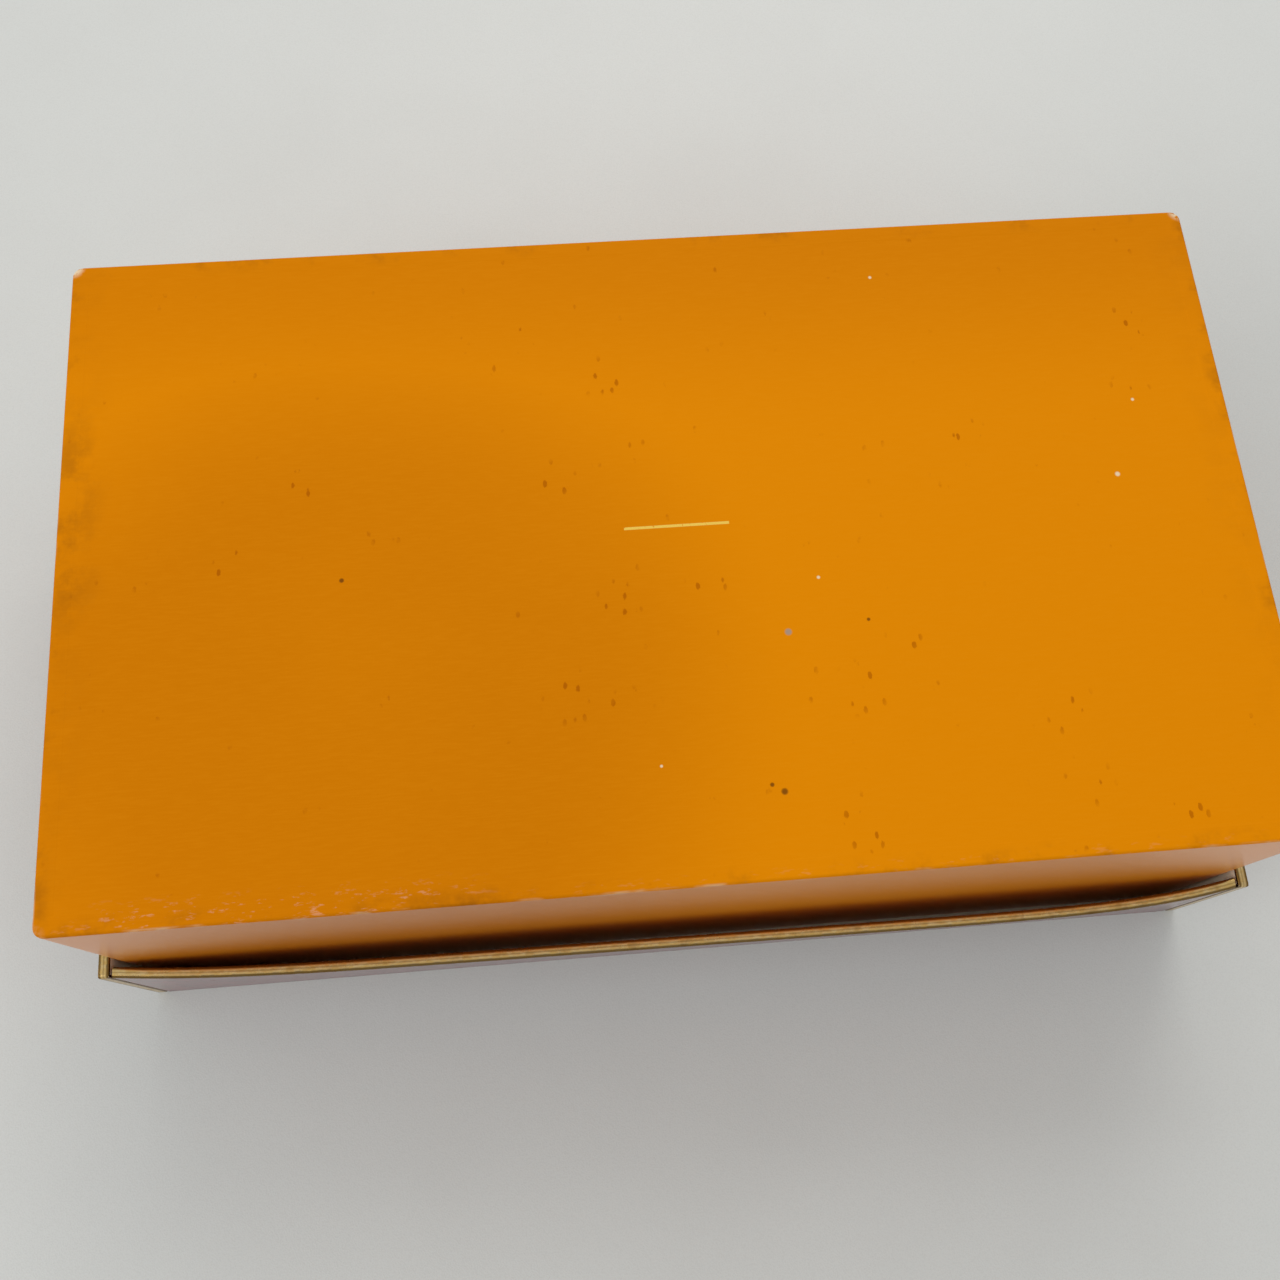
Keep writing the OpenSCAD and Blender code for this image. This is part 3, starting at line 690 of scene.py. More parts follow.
def unit_ball(across=48, down=32):
    """A closed ball of radius one about zero."""
    lon = np.linspace(0, TAU, across, endpoint=False)[:, None]
    lat = np.linspace(-math.pi / 2, math.pi / 2, down)[None, :]
    return join(np.cos(lon) * np.cos(lat), np.sin(lon) * np.cos(lat), np.sin(lat))


def around_jack(reach, turn, height):
    """Points at a reach from the jack's axis, at an angle round it and a height."""
    return join(reach * np.cos(turn), reach * np.sin(turn), height)


def in_case(points, close_v=False):
    """A surface of the jack's that goes round in u, moved into the case."""
    return grid(to_case(points), True, close_v)


def thread_map(piece, where):
    """Stores a UV map named thread, from a function of the points' places."""
    layer = piece.data.uv_layers.new(name="thread")
    points = np.empty(len(piece.data.vertices) * 3)
    piece.data.vertices.foreach_get("co", points)
    flat = where(points.reshape(-1, 3))
    index = np.empty(len(piece.data.loops), int)
    piece.data.loops.foreach_get("vertex_index", index)
    layer.data.foreach_set("uv", flat[index].astype(np.float32).ravel())


def about_axis(points):
    """Cloth coordinates round the jack's axis: the way round, at the gown's radius, and height."""
    turn = np.arctan2(points[:, 1] - MIDDLE_Y, points[:, 0])
    radius = np.hypot(points[:, 0], points[:, 1] - MIDDLE_Y)
    return join(turn * (GOWN_HIGH.x - GOWN_LOW.x) / 2, radius + points[:, 2])


# ---- Sizes and colours ----------------------------------------------------------

def length(label, about, millimetres):
    """A length shown in the panel, kept in metres."""
    return bpy.props.FloatProperty(name=label, description=about, default=millimetres * MM,
                                   min=0, precision=5, unit="LENGTH")


def count(label, about, number):
    """A whole number shown in the panel."""
    return bpy.props.IntProperty(name=label, description=about, default=number, min=1)


def share(label, about, value):
    """A plain number shown in the panel: a share of another size, or a strength."""
    return bpy.props.FloatProperty(name=label, description=about, default=value, min=0)


def colour(label, about, red, green, blue):
    """A colour shown in the panel, given as it looks on a screen, 0 to 255."""
    return bpy.props.FloatVectorProperty(name=label, description=about, size=3, min=0, max=1,
                                         default=tone(red, green, blue), subtype="COLOR")


class BoxSizes(bpy.types.PropertyGroup):
    """Sizes of the box's papers and foils."""

    case_fillet: length("Case fillet", "Rounding of the paper at the case's bottom edges", 0.9)
    case_corner: length("Case corner", "Rounding of the case's upright corners", 3.0)
    sag: length("Sag", "How far the case's bottom paper dips between its edges", 0.14)
    lid_fillet: length("Lid fillet", "Rounding of the paper where the lid turns up", 0.8)
    foil_lip: length("Foil lip", "How far the foil turns down over each face", 1.0)
    foil_lift: length("Foil lift", "How far the foil's lips stand off the paper", 0.05)
    bow_left: length("Bow at left", "How far the flap's edge stands out, counted at its left", 3.0)
    bow_gain: length("Bow gain", "How much further it stands out counted at its right", 2.4)
    bow_power: count("Bow power", "How square the flap's bow is: higher is flatter", 6)
    flap_foot: length("Flap foot", "Height where the flap's board starts above its fold", 0.8)


class JackSizes(bpy.types.PropertyGroup):
    """Sizes of the figure's soft and painted pieces."""

    pleats: count("Pleats", "Folds in the gown, one above the other", 8)
    pleat_in: length("Pleat inside", "Radius of the gown at its inner folds", 29.2)
    pleat_out: length("Pleat outside", "Radius of the gown at its outer folds", 38.8)
    cloth: length("Cloth", "Thickness of the gown's cotton", 0.45)
    gathers: count("Gathers", "Soft gathers round the gown", 26)
    ruffles: count("Ruffles", "Waves round the ruff", 15)
    ruffle_depth: length("Ruffle depth", "Height of the ruff's waves at its edge", 2.1)
    cap: length("Cap", "How far the hat's cap stands off the head", 1.8)
    cap_up: share("Cap height", "Where the cap starts, in head radii over the middle", 0.35)
    band: length("Band", "Radius of the braid round the hat", 1.8)
    nose: share("Nose", "Radius of the nose in head radii", 0.168)
    cheek: share("Cheek", "Radius of the cheeks in head radii", 0.18)
    bell: length("Bell", "Radius of the hat's bells", 4.0)
    sleeve: length("Sleeve", "Length of each sleeve", 22.0)
    cuff: length("Cuff", "Length of each cuff", 4.0)
    hand: length("Hand", "Radius of each mitten", 8.0)


class BoxColours(bpy.types.PropertyGroup):
    """Colours of papers, foils, boards and wood."""

    orange: colour("Orange", "The case's paper", 228, 136, 0)
    # Painted shade laid over the case's paper.
    orange_shade: colour("Orange deep", "Softer patches in the paper", 208, 120, 0)
    orange_light: colour("Orange light", "Its raised fibres", 236, 150, 22)
    smudge: colour("Smudge", "Brown dirt and dents", 84, 44, 14)
    fleck: colour("Fleck", "Small brown flecks on the paper", 142, 56, 0)
    stamp: colour("Stamp", "Foil stamped on the case's bottom", 228, 190, 84)
    rub: colour("Rub", "Pale rubs along the front edge", 232, 178, 150)
    bare_paper: colour("Bare paper", "Worn spots that show the paper's white core", 236, 218, 182)
    grey_chip: colour("Grey chip", "One chip filled with grey dirt", 150, 146, 138)
    burgundy: colour("Burgundy", "The lid's coated paper", 118, 16, 28)
    burgundy_deep: colour("Burgundy deep", "Its darker mottle", 88, 8, 20)
    burgundy_worn: colour("Burgundy worn", "Its rubbed places", 140, 74, 66)
    gold: colour("Gold", "Foil on the lid's edges", 218, 180, 108)
    gold_light: colour("Gold light", "Bright crinkles in the foil", 242, 218, 164)
    # Painted shade on the foil's shoulders and down its middle.
    gold_shade: colour("Gold dark", "Foil on the edges' shoulders, dark with handling", 96, 66, 18)
    gold_dull: colour("Gold dull", "Foil dulled by handling", 130, 90, 30)
    cream: colour("Cream", "Lining paper", 238, 229, 206)
    cream_deep: colour("Cream deep", "Its mottle", 228, 215, 186)
    cream_light: colour("Cream light", "Its fibres", 246, 238, 218)
    board: colour("Board", "Grey board", 132, 124, 112)
    board_light: colour("Board light", "Pale fibres in the board", 164, 156, 142)
    wood: colour("Wood", "Beech", 214, 170, 118)
    wood_deep: colour("Wood deep", "Grain in the beech", 190, 140, 90)
    wood_dark: colour("Wood dark", "Flecks in the beech", 130, 84, 48)
    brass: colour("Brass", "The hat's bells", 222, 176, 84)


class JackColours(bpy.types.PropertyGroup):
    """Colours of the figure's cloth, wool and paint."""

    gown: colour("Gown", "Cotton over the spring", 150, 22, 30)
    gown_shade: colour("Gown shade", "Faded parts of it", 122, 14, 24)
    gown_light: colour("Gown light", "Its raised threads", 186, 62, 58)
    gown_stripe: colour("Gown stripe", "Stripes woven into it", 224, 156, 40)
    sleeve: colour("Sleeve", "Cotton of the sleeves", 218, 132, 22)
    sleeve_shade: colour("Sleeve shade", "Faded parts of it", 188, 104, 12)
    sleeve_light: colour("Sleeve light", "Its raised threads", 238, 172, 74)
    ruff: colour("Ruff", "Cotton of the ruff and cuffs", 236, 228, 208)
    ruff_shade: colour("Ruff shade", "Yellowed parts of it", 216, 202, 172)
    ruff_light: colour("Ruff light", "Its raised threads", 250, 246, 234)
    skin: colour("Skin", "Paint of the face and hands", 240, 198, 160)
    skin_warm: colour("Skin warm", "Warmer parts of it", 230, 176, 138)
    wood: colour("Bare wood", "Where paint has chipped", 206, 160, 110)
    hair: colour("Hair", "Wool of the hair", 206, 92, 20)
    hair_deep: colour("Hair deep", "Its darker strands", 150, 54, 12)


class StageSettings(bpy.types.PropertyGroup):
    """Camera, lights and table."""

    eye: bpy.props.FloatVectorProperty(name="Camera", description="Where the camera stands",
                                       default=(-0.02905, -0.13746, 0.4468), unit="LENGTH")
    lens: bpy.props.FloatProperty(name="Lens", description="Focal length in millimetres",
                                  default=37.38)
    heading: bpy.props.FloatProperty(name="Heading", description="Turn right from straight back",
                                     default=math.radians(9.78), subtype="ANGLE")
    pitch: bpy.props.FloatProperty(name="Pitch", description="Turn down from level",
                                   default=math.radians(71.17), subtype="ANGLE")
    roll: bpy.props.FloatProperty(name="Roll", description="Tilt of the camera's head",
                                  default=math.radians(5.37), subtype="ANGLE")
    key: share("Key", "Power of the soft light behind and above, in watts", 8.0)
    side: share("Side", "Power of the light from the left, in watts", 6.0)
    fill: share("Fill", "Power of the light in front, in watts", 0.2)
    world: share("World", "Strength of the light from all round", 0.60)
    table: colour("Table", "The table top", 214, 215, 210)


def settings():
    """The scene's five groups: box sizes, jack sizes, box colours, jack colours, stage."""
    scene = bpy.context.scene
    return (scene.jackbox_box, scene.jackbox_jack, scene.jackbox_paper, scene.jackbox_paint,
            scene.jackbox_stage)


# ---- Operators: the box ---------------------------------------------------------

WELD_REACH, BEVEL_STEPS, BEVEL_ANGLE = 0.01 * MM, 3, math.radians(50)
RIM_ROUND = 0.25 * MM
# Rounding of the lid's foil at the front corner, and at the shoulders of each foil.
FOIL_BEND, LID_SHOULDER, FLAP_SHOULDER = 1.0 * MM, 0.35 * MM, 0.98 * MM
# Where the paper on the flap's ends starts and stops, counted out from the board.
END_PAPER = (0.01 * MM, 0.08 * MM)


def bevelled(name, width):
    """Welds a kept CAD node's loose triangles and rounds its edges with modifiers."""
    node = frame["nodes"][name]
    weld = node.modifiers.new("Weld", "WELD")
    weld.merge_threshold = WELD_REACH
    bevel = node.modifiers.new("Bevel", "BEVEL")
    bevel.width = width
    bevel.segments = BEVEL_STEPS
    bevel.limit_method = "ANGLE"
    bevel.angle_limit = BEVEL_ANGLE


class JACKBOX_OT_finishes(bpy.types.Operator):
    """Mixes every material and puts each on the CAD pieces of its slot"""

    bl_idname = "jackbox.finishes"
    bl_label = "Finishes"

    def execute(self, context):
        papers, paints = settings()[2:4]
        finishes.update(mix_finishes(papers, paints))
        for name, node in frame["nodes"].items():
            node.data.materials.clear()
            node.data.materials.append(finishes[slot_of(name)])
        for name, width in (("mount_block", 1.0 * MM), ("shoulder_plate", 0.8 * MM)):
            bevelled(name, width)
        return {"FINISHED"}


class JACKBOX_OT_case(bpy.types.Operator):
    """The case's paper, wrapped over its walls and bottom and turned in at its rim.

    A closed profile of (inset, height) pairs is carried round a rectangle with round corners.
    The bottom dips by sag * (1 - u^4) * (1 - v^4) * ripple, u and v being shares of its halves"""

    bl_idname = "jackbox.case"
    bl_label = "Case Paper"

    def execute(self, context):
        box = settings()[0]
        f, high, rim = box.case_fillet, CASE_HIGH.z, CASE_LOW.z
        centre = (f, high - f)
        rows = HALF_D * np.linspace(0, 1, 18)[1:-1] ** 1.2
        rise = np.linspace(rim + 1.2 * MM, high - f - 1 * MM, 14)
        outer = [(0, z) for z in rise]
        top = [(d, high) for d in f + rows * (HALF_D - f) / HALF_D] + [(HALF_D, high)]
        under = [(d, z - PAPER) for d, z in reversed(top)]
        inner = [(PAPER, z) for z in reversed(rise)]
        foot = [(WALL - PAPER, rim + 0.1 * MM), (WALL - PAPER, rim + PAPER), (PAPER, rim + PAPER)]
        low = arc((RIM_ROUND, rim + RIM_ROUND), RIM_ROUND, 270, 180, 5)
        profile = np.concatenate([
            under, arc(centre, f - PAPER, 90, 180, 9), inner, foot[::-1],
            [(WALL - 0.4 * MM, rim)], low, outer, arc(centre, f, 180, 90, 9), top])
        points = wrapped(HALF_W, HALF_D, box.case_corner, profile, round_outline(64, 36, 9))
        u, v = points[..., 0] / HALF_W, points[..., 1] / HALF_D
        ripple = 0.75 + 0.25 * np.sin(9 * u + 2 * v) * np.cos(5 * v - 3 * u)
        over = np.clip((points[..., 2] - (high - f)) / f, 0, 1)
        points[..., 2] -= over * box.sag * (1 - np.abs(u) ** 4) * (1 - np.abs(v) ** 4) * ripple
        points[..., 1] += MIDDLE_Y
        piece = build("case_wrap", [grid(points, close_u=True)], "orange_paper", "case",
                      ["case_paper"])
        sharpen(piece, 50)
        return {"FINISHED"}


class JACKBOX_OT_lid(bpy.types.Operator):
    """The lid's paper in one skin, and the foil over its side walls' edges.

    The skin is a U-shaped section with rounded turns, carried from front to back. The foil is
    a shallow U carried along each wall's top, round the front corner and down the front end"""

    bl_idname = "jackbox.lid"
    bl_label = "Lid Paper and Foil"

    def execute(self, context):
        box = settings()[0]
        f, half = box.lid_fillet, LID_HIGH.x
        top = TRIM_HIGH.z - PAPER
        side_front, back = FRONT_Y + PAPER, LID_HIGH.y
        rise = np.linspace(top, f, 16)[:-1]
        turn = arc((half - f, f), f, 0, -90, 8)
        across = join(np.linspace(half - f, 0, 20)[1:], 0)
        right = np.concatenate([join(half, rise), turn, across])
        skin_turn = arc((half - f, f), f - PAPER, 0, -90, 8)
        skin = np.concatenate([join(half - PAPER, rise), skin_turn, across + [0, PAPER]])
        flip = np.array([-1, 1])
        outline = np.concatenate([right, (right * flip)[-2::-1], skin * flip, skin[-2::-1]])
        # Under the panel the paper starts behind the crease, and at the walls right at the front.
        lift = np.clip((outline[:, 1] - 0.5 * f) / f, 0, 1)
        front = LID_LOW.y + (side_front - LID_LOW.y) * lift
        along = np.linspace(0, 1, 40)[:, None]
        y = front[None, :] + (back - front)[None, :] * along
        points = join(outline[:, 0], y, outline[:, 1])
        piece = build("lid_wrap", [swept(points)], "burgundy_paper", "lid",
                      ["lid_face_paper", "lid_side_papers"])
        sharpen(piece)
        section = foil_section(WALL / 2, box.foil_lip, box.foil_lift, LID_SHOULDER)
        r = FOIL_BEND
        ahead = np.linspace(back, FRONT_Y + r, 50)
        bend = np.linspace(0, math.pi / 2, 9)[1:]
        down = np.linspace(TRIM_HIGH.z - r, TRIM_LOW.z, 24)[1:]
        runs = []
        for sign in (-1, 1):
            x = sign * (half - WALL / 2) + section[:, 0]
            rows = [join(x, y, TRIM_HIGH.z + section[:, 1]) for y in ahead]
            reach = r + section[:, 1]
            rows += [join(x, FRONT_Y + r - reach * math.sin(a),
                          TRIM_HIGH.z - r + reach * math.cos(a)) for a in bend]
            rows += [join(x, FRONT_Y - section[:, 1], z) for z in down]
            runs.append(swept(np.array(rows)))
        piece = build("lid_foil", runs, "gold_foil", "lid", ["lid_rim_trims"], 0.002 * MM)
        sharpen(piece, 60)
        thread_map(piece, lambda p: join((np.abs(p[:, 0]) - half + WALL / 2) / (WALL / 2),
                                         p[:, 1]))
        return {"FINISHED"}


def foil_section(half, lip, lift, shoulder, inset=0.0):
    """Foil over a board's edge: zero height is its top, and it thickens inwards by inset."""
    r, near = shoulder, half - inset
    right = arc((half + lift - r, -r), r, 90, 0, 10)
    outer = np.concatenate([[(half + lift, -lip)], right[::-1]])
    flip = np.array([-1, 1])
    inner = np.array([(-half, -lip), (-near, -lip), (-near, -PAPER), (near, -PAPER),
                      (near, -lip), (half, -lip)])
    return np.concatenate([outer, (outer * flip)[::-1], inner])


class JACKBOX_OT_flap(bpy.types.Operator):
    """The flap's paper, lining, end papers and foil, all on its bow.

    At x the flap's edge stands out by (left + gain * s) * (1 - |2s - 1|^power), s being the
    share of its length, and the bow shrinks straight to nothing at its foot"""

    bl_idname = "jackbox.flap"
    bl_label = "Flap Paper and Foil"

    def execute(self, context):
        box = settings()[0]
        half, foot, high = FLAP_HIGH.x, box.flap_foot, EDGE_HIGH.z
        top = high - 0.9 * box.foil_lip
        stations = np.linspace(-half, half, 161)
        s = (stations + half) / (2 * half)
        bow = (box.bow_left + box.bow_gain * s) * (1 - np.abs(2 * s - 1) ** box.bow_power)

        def bowed(section):
            """Carries a section of (y, z) pairs along the flap, moved out by the bow."""
            part = np.clip((section[:, 1] - foot) / (high - foot), 0, 1)
            y = section[None, :, 0] - bow[:, None] * part[None, :]
            return join(stations[:, None], y, section[:, 1])

        rise = np.linspace(top, foot, 22)

        def upright(near, far):
            """A section from the flap's foot to its top, between two distances."""
            return np.concatenate([join(near, rise), join(far, rise[::-1])])

        axis = (FRONT_Y + PAPER, PAPER)
        bead = arc(axis, PAPER, 180, 405, 12)
        face = np.concatenate([
            join(FRONT_Y, rise), bead, [(FRONT_Y + PAPER, foot)],
            join(FRONT_Y + PAPER, rise[-2::-1])])
        parts = [swept(bowed(face))]
        for end, sign in ((0, -1), (-1, 1)):
            flat = bowed(upright(FRONT_Y, FRONT_Y + WALL))[end]
            parts.append(swept(flat + np.array(END_PAPER)[:, None, None] * [sign, 0, 0]))
        piece = build("flap_wrap", parts, "burgundy_paper", "flap", ["flap_face_paper"], 0.002 * MM)
        sharpen(piece)
        lining = upright(FRONT_Y + WALL - PAPER, FRONT_Y + WALL)
        piece = build("flap_inside", [swept(bowed(lining))], "cream_lining", "flap",
                      ["flap_lining"])
        sharpen(piece)
        section = foil_section(WALL / 2, box.foil_lip, box.foil_lift, FLAP_SHOULDER, PAPER)
        edge = section + [FRONT_Y + WALL / 2, high]
        piece = build("flap_foil", [swept(bowed(edge))], "gold_foil", "flap", ["flap_rim_trim"],
                      0.002 * MM)
        sharpen(piece, 60)

        def across(points):
            out = np.interp(points[:, 0], stations, bow)
            return join((points[:, 1] - FRONT_Y - WALL / 2 + out) / (WALL / 2), points[:, 0])

        thread_map(piece, across)
        return {"FINISHED"}


# ---- Operators: the jack --------------------------------------------------------

GATHER_DEPTH = 0.32 * MM
RUFF_HOLE, RUFF_CLOTH = 7.4 * MM, 0.3 * MM
UPPER_RUFF = 0.84  # the upper layer's width, as a share of the lower one's
SLEEVE_R = 8 * MM


class JACKBOX_OT_gown(bpy.types.Operator):
    """The gown over the spring: a pleated tube that opens like bellows.

    Radius = middle + half depth * soft zigzag(height), with small gathers that fade at both
    ends. The inner face lies one cloth inside, and the two meet at both ends"""

    bl_idname = "jackbox.gown"
    bl_label = "Gown"

    def execute(self, context):
        jack = settings()[1]
        low, high = FLOOR_Z - GOWN_HIGH.z, FLOOR_Z - GOWN_LOW.z
        t = np.linspace(0, 1, jack.pleats * 16 + 1)
        phase = TAU * jack.pleats * t - math.pi / 2
        zigzag = np.arcsin(0.96 * np.sin(phase)) / math.asin(0.96)
        middle = (jack.pleat_in + jack.pleat_out) / 2
        depth = (jack.pleat_out - jack.pleat_in) / 2
        radius = middle + depth * zigzag
        height = low + (high - low) * t
        outer = join(radius, height)
        ahead = np.gradient(outer, axis=0)
        ahead /= np.linalg.norm(ahead, axis=1)[:, None]
        inner = outer + jack.cloth * join(-ahead[:, 1], ahead[:, 0])
        inner[:, 1] = np.clip(inner[:, 1], low, high)
        loop = np.concatenate([outer, inner[::-1]])
        turn = np.linspace(0, TAU, 240, endpoint=False)[:, None]
        level = (loop[None, :, 1] - low) / (high - low)
        fade = np.sin(math.pi * np.clip(level, 0, 1)) ** 0.5
        gather = np.sin(jack.gathers * turn + 1.5 * np.sin(2 * turn) + 3 * level)
        gather = gather + 0.5 * np.sin((jack.gathers + 9) * turn - 5 * level)
        reach = loop[None, :, 0] + GATHER_DEPTH * gather * fade
        points = around_jack(reach, turn, loop[None, :, 1])
        piece = build("gown_bellows", [in_case(points, close_v=True)],
                      "gown_cloth", None, ["gown"])
        thread_map(piece, about_axis)
        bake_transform(piece)
        return {"FINISHED"}


class JACKBOX_OT_ruff(bpy.types.Operator):
    """The ruff: two waved layers of cotton, the upper one narrower.

    Height = layer's middle + 0.8 * depth * q^1.4 * sin(waves * turn), q being the share of the
    way from the neck to the edge. Each layer is closed with a rounded hem"""

    bl_idname = "jackbox.ruff"
    bl_label = "Ruff"

    def execute(self, context):
        jack = settings()[1]
        hole, edge = RUFF_HOLE, (RUFF_HIGH.x - RUFF_LOW.x) / 2
        turn = np.linspace(0, TAU, 300, endpoint=False)[:, None]
        parts = []
        for reach, base, lift, seed in (
                (edge, 0.40, 0.0, 0.0), (UPPER_RUFF * edge, 0.86, 0.25, 0.35)):
            q = np.linspace(0, 1, 20)
            hem = arc((1, 0), 1, 80, -80, 5)
            q_out = np.concatenate([q, np.ones(5), q[::-1]])[None, :]
            off = np.concatenate([np.full(20, 1.0), hem[:, 1], np.full(20, -1.0)]) * RUFF_CLOTH
            bulge = np.concatenate([np.zeros(20), hem[:, 0] - 1, np.zeros(20)]) * RUFF_CLOTH
            r = hole + (reach - hole) * q_out + bulge[None, :]
            wobble = 1 + 0.25 * np.sin(3 * turn + 6 * seed)
            sway = 0.35 * np.sin(2 * turn + seed)
            wave = np.sin(jack.ruffles * turn + sway) * wobble
            z = RUFF_UP + RUFF_T * (base + lift * q_out)
            z = z + jack.ruffle_depth * 0.8 * q_out ** 1.4 * wave + off[None, :]
            r = r + 0.5 * MM * q_out ** 2 * np.cos(jack.ruffles * turn + sway)
            parts.append(in_case(around_jack(r, turn, z), close_v=True))
        piece = build("ruff_layers", parts, "ruff_cloth", "jack", ["ruff"])
        thread_map(piece, about_axis)
        # Two rings cut one beside the other from one strip.
        return {"FINISHED"}


def on_head(x, z, radius):
    """A point at that distance from the head's middle, x and z being shares of the way."""
    return np.array([x, -math.sqrt(1 - x * x - z * z), z]) * radius + [0, 0, HEAD_UP]


class JACKBOX_OT_head(bpy.types.Operator):
    """The wooden head with its nose, eyes, cheeks and smile.

    The head is a ball with soft swellings: radius * (1 + sum of height * exp(-distance^2 /
    width^2)): the chin and the cheeks stand out, and the eyes lie in hollows"""

    bl_idname = "jackbox.head"
    bl_label = "Head and Face"

    def execute(self, context):
        jack = settings()[1]
        unit = unit_ball(120, 80)
        swell = np.zeros(unit.shape[:2])
        for x, z, size, tall in ((0, -0.80, 0.30, 0.022), (0.52, -0.30, 0.26, 0.014),
                                 (-0.52, -0.30, 0.26, 0.014), (0.34, 0.10, 0.22, -0.012),
                                 (-0.34, 0.10, 0.22, -0.012)):
            away = ((unit - on_head(x, z, 1) + [0, 0, HEAD_UP]) ** 2).sum(-1)
            swell += tall * np.exp(-away / size ** 2)
        points = unit * (HEAD_R * (1 + swell))[..., None] + [0, 0, HEAD_UP]
        build("doll_head", [in_case(points)], "skin_paint", "jack", ["head"])
        # Name, slot, node, places to the side, height, distance out and half widths: all but the
        # names are shares of the head's radius.
        for name, slot, node, places, up, out, sizes in (
                ("doll_nose", "red_paint", "nose", (0,), -0.10, 1.03,
                 np.array([1, 1, 0.94]) * jack.nose),
                ("doll_eyes", "black_paint", "eyes", (-0.34, 0.34), 0.12, 0.972,
                 np.array([0.104, 0.06, 0.13])),
                ("doll_cheeks", "blush_paint", "cheeks", (-0.56, 0.56), -0.22, 0.875,
                 np.full(3, jack.cheek))):
            balls = [in_case(on_head(x, up, HEAD_R * out) + unit_ball() * (sizes * HEAD_R))
                     for x in places]
            build(name, balls, slot, "jack", [node])
        swing = np.radians(np.linspace(-56, 56, 41))
        x, z = 0.39 * np.sin(swing), -0.14 - 0.39 * np.cos(swing)
        path = join(x, -np.sqrt(1 - x * x - z * z), z) * HEAD_R * 1.008 + [0, 0, HEAD_UP]
        thin = 0.95 * MM * np.sqrt(np.clip(1 - (swing / swing[-1]) ** 2, 0.16, 1))
        build("doll_smile", [tube_part(path, thin, 16)], "red_paint", "jack", ["mouth"])
        return {"FINISHED"}


def tube_part(path, radii, sides=24, **shape):
    """A tube with closed ends, moved into the case."""
    points, faces = tube(path, radii, sides, **shape)
    return to_case(points), faces


class JACKBOX_OT_hair(bpy.types.Operator):
    """Curled wool at each side of the head, below the hat.

    Every curl is a ball whose radius swells by 0.11 * sin(9x + 5z) * sin(10y - 4x) and two finer
    waves, so it looks like looped yarn"""

    bl_idname = "jackbox.hair"
    bl_label = "Hair"

    def execute(self, context):
        tufts = ((0, -0.02, 0.22), (-20, -0.16, 0.20), (20, -0.16, 0.20), (0, -0.38, 0.19),
                 (-34, -0.05, 0.15), (36, -0.04, 0.17), (24, -0.42, 0.15))
        unit = unit_ball(72, 48)
        x, y, z = np.moveaxis(unit, -1, 0)
        parts = []
        for side in (-1, 1):
            for k, (turn, up, size) in enumerate(tufts):
                a, b = math.radians(turn), math.asin(up)
                way = np.array([math.cos(a) * math.cos(b), math.sin(a) * math.cos(b), up])
                middle = way * HEAD_R * (1.01 + 0.72 * size)
                fuzz = (0.11 * np.sin(9 * x + 5 * z + k) * np.sin(10 * y - 4 * x)
                        + 0.08 * np.sin(17 * z + 9 * y + k) * np.cos(15 * x)
                        + 0.03 * np.sin(33 * y + 2 * k) * np.sin(31 * z))
                curl = unit * (size * HEAD_R * (1 + fuzz))[..., None] + middle
                curl[..., 0] *= side
                parts.append(in_case(curl + [0, 0, HEAD_UP]))
        build("wool_hair", parts, "hair_wool", "jack", ["hair"])
        return {"FINISHED"}


def horn_knots(side):
    """Places, then radii, along one of the hat's points, in head radii: 0 is the back one."""
    if side:
        return [(side * 0.06, 0, 0.58, 0.34), (side * 0.32, 0, 0.76, 0.42),
                (side * 0.72, 0, 0.90, 0.36), (side * 1.04, 0, 0.86, 0.272),
                (side * 1.36, 0, 0.74, 0.20), (side * 1.62, 0, 0.56, 0.145),
                (side * 1.76, 0, 0.40, 0.09)]
    return [(0, 0.06, 0.58, 0.34), (0, 0.32, 0.76, 0.38), (0, 0.68, 0.80, 0.31),
            (0, 1.0, 0.70, 0.235), (0, 1.24, 0.56, 0.155), (0, 1.36, 0.44, 0.09)]


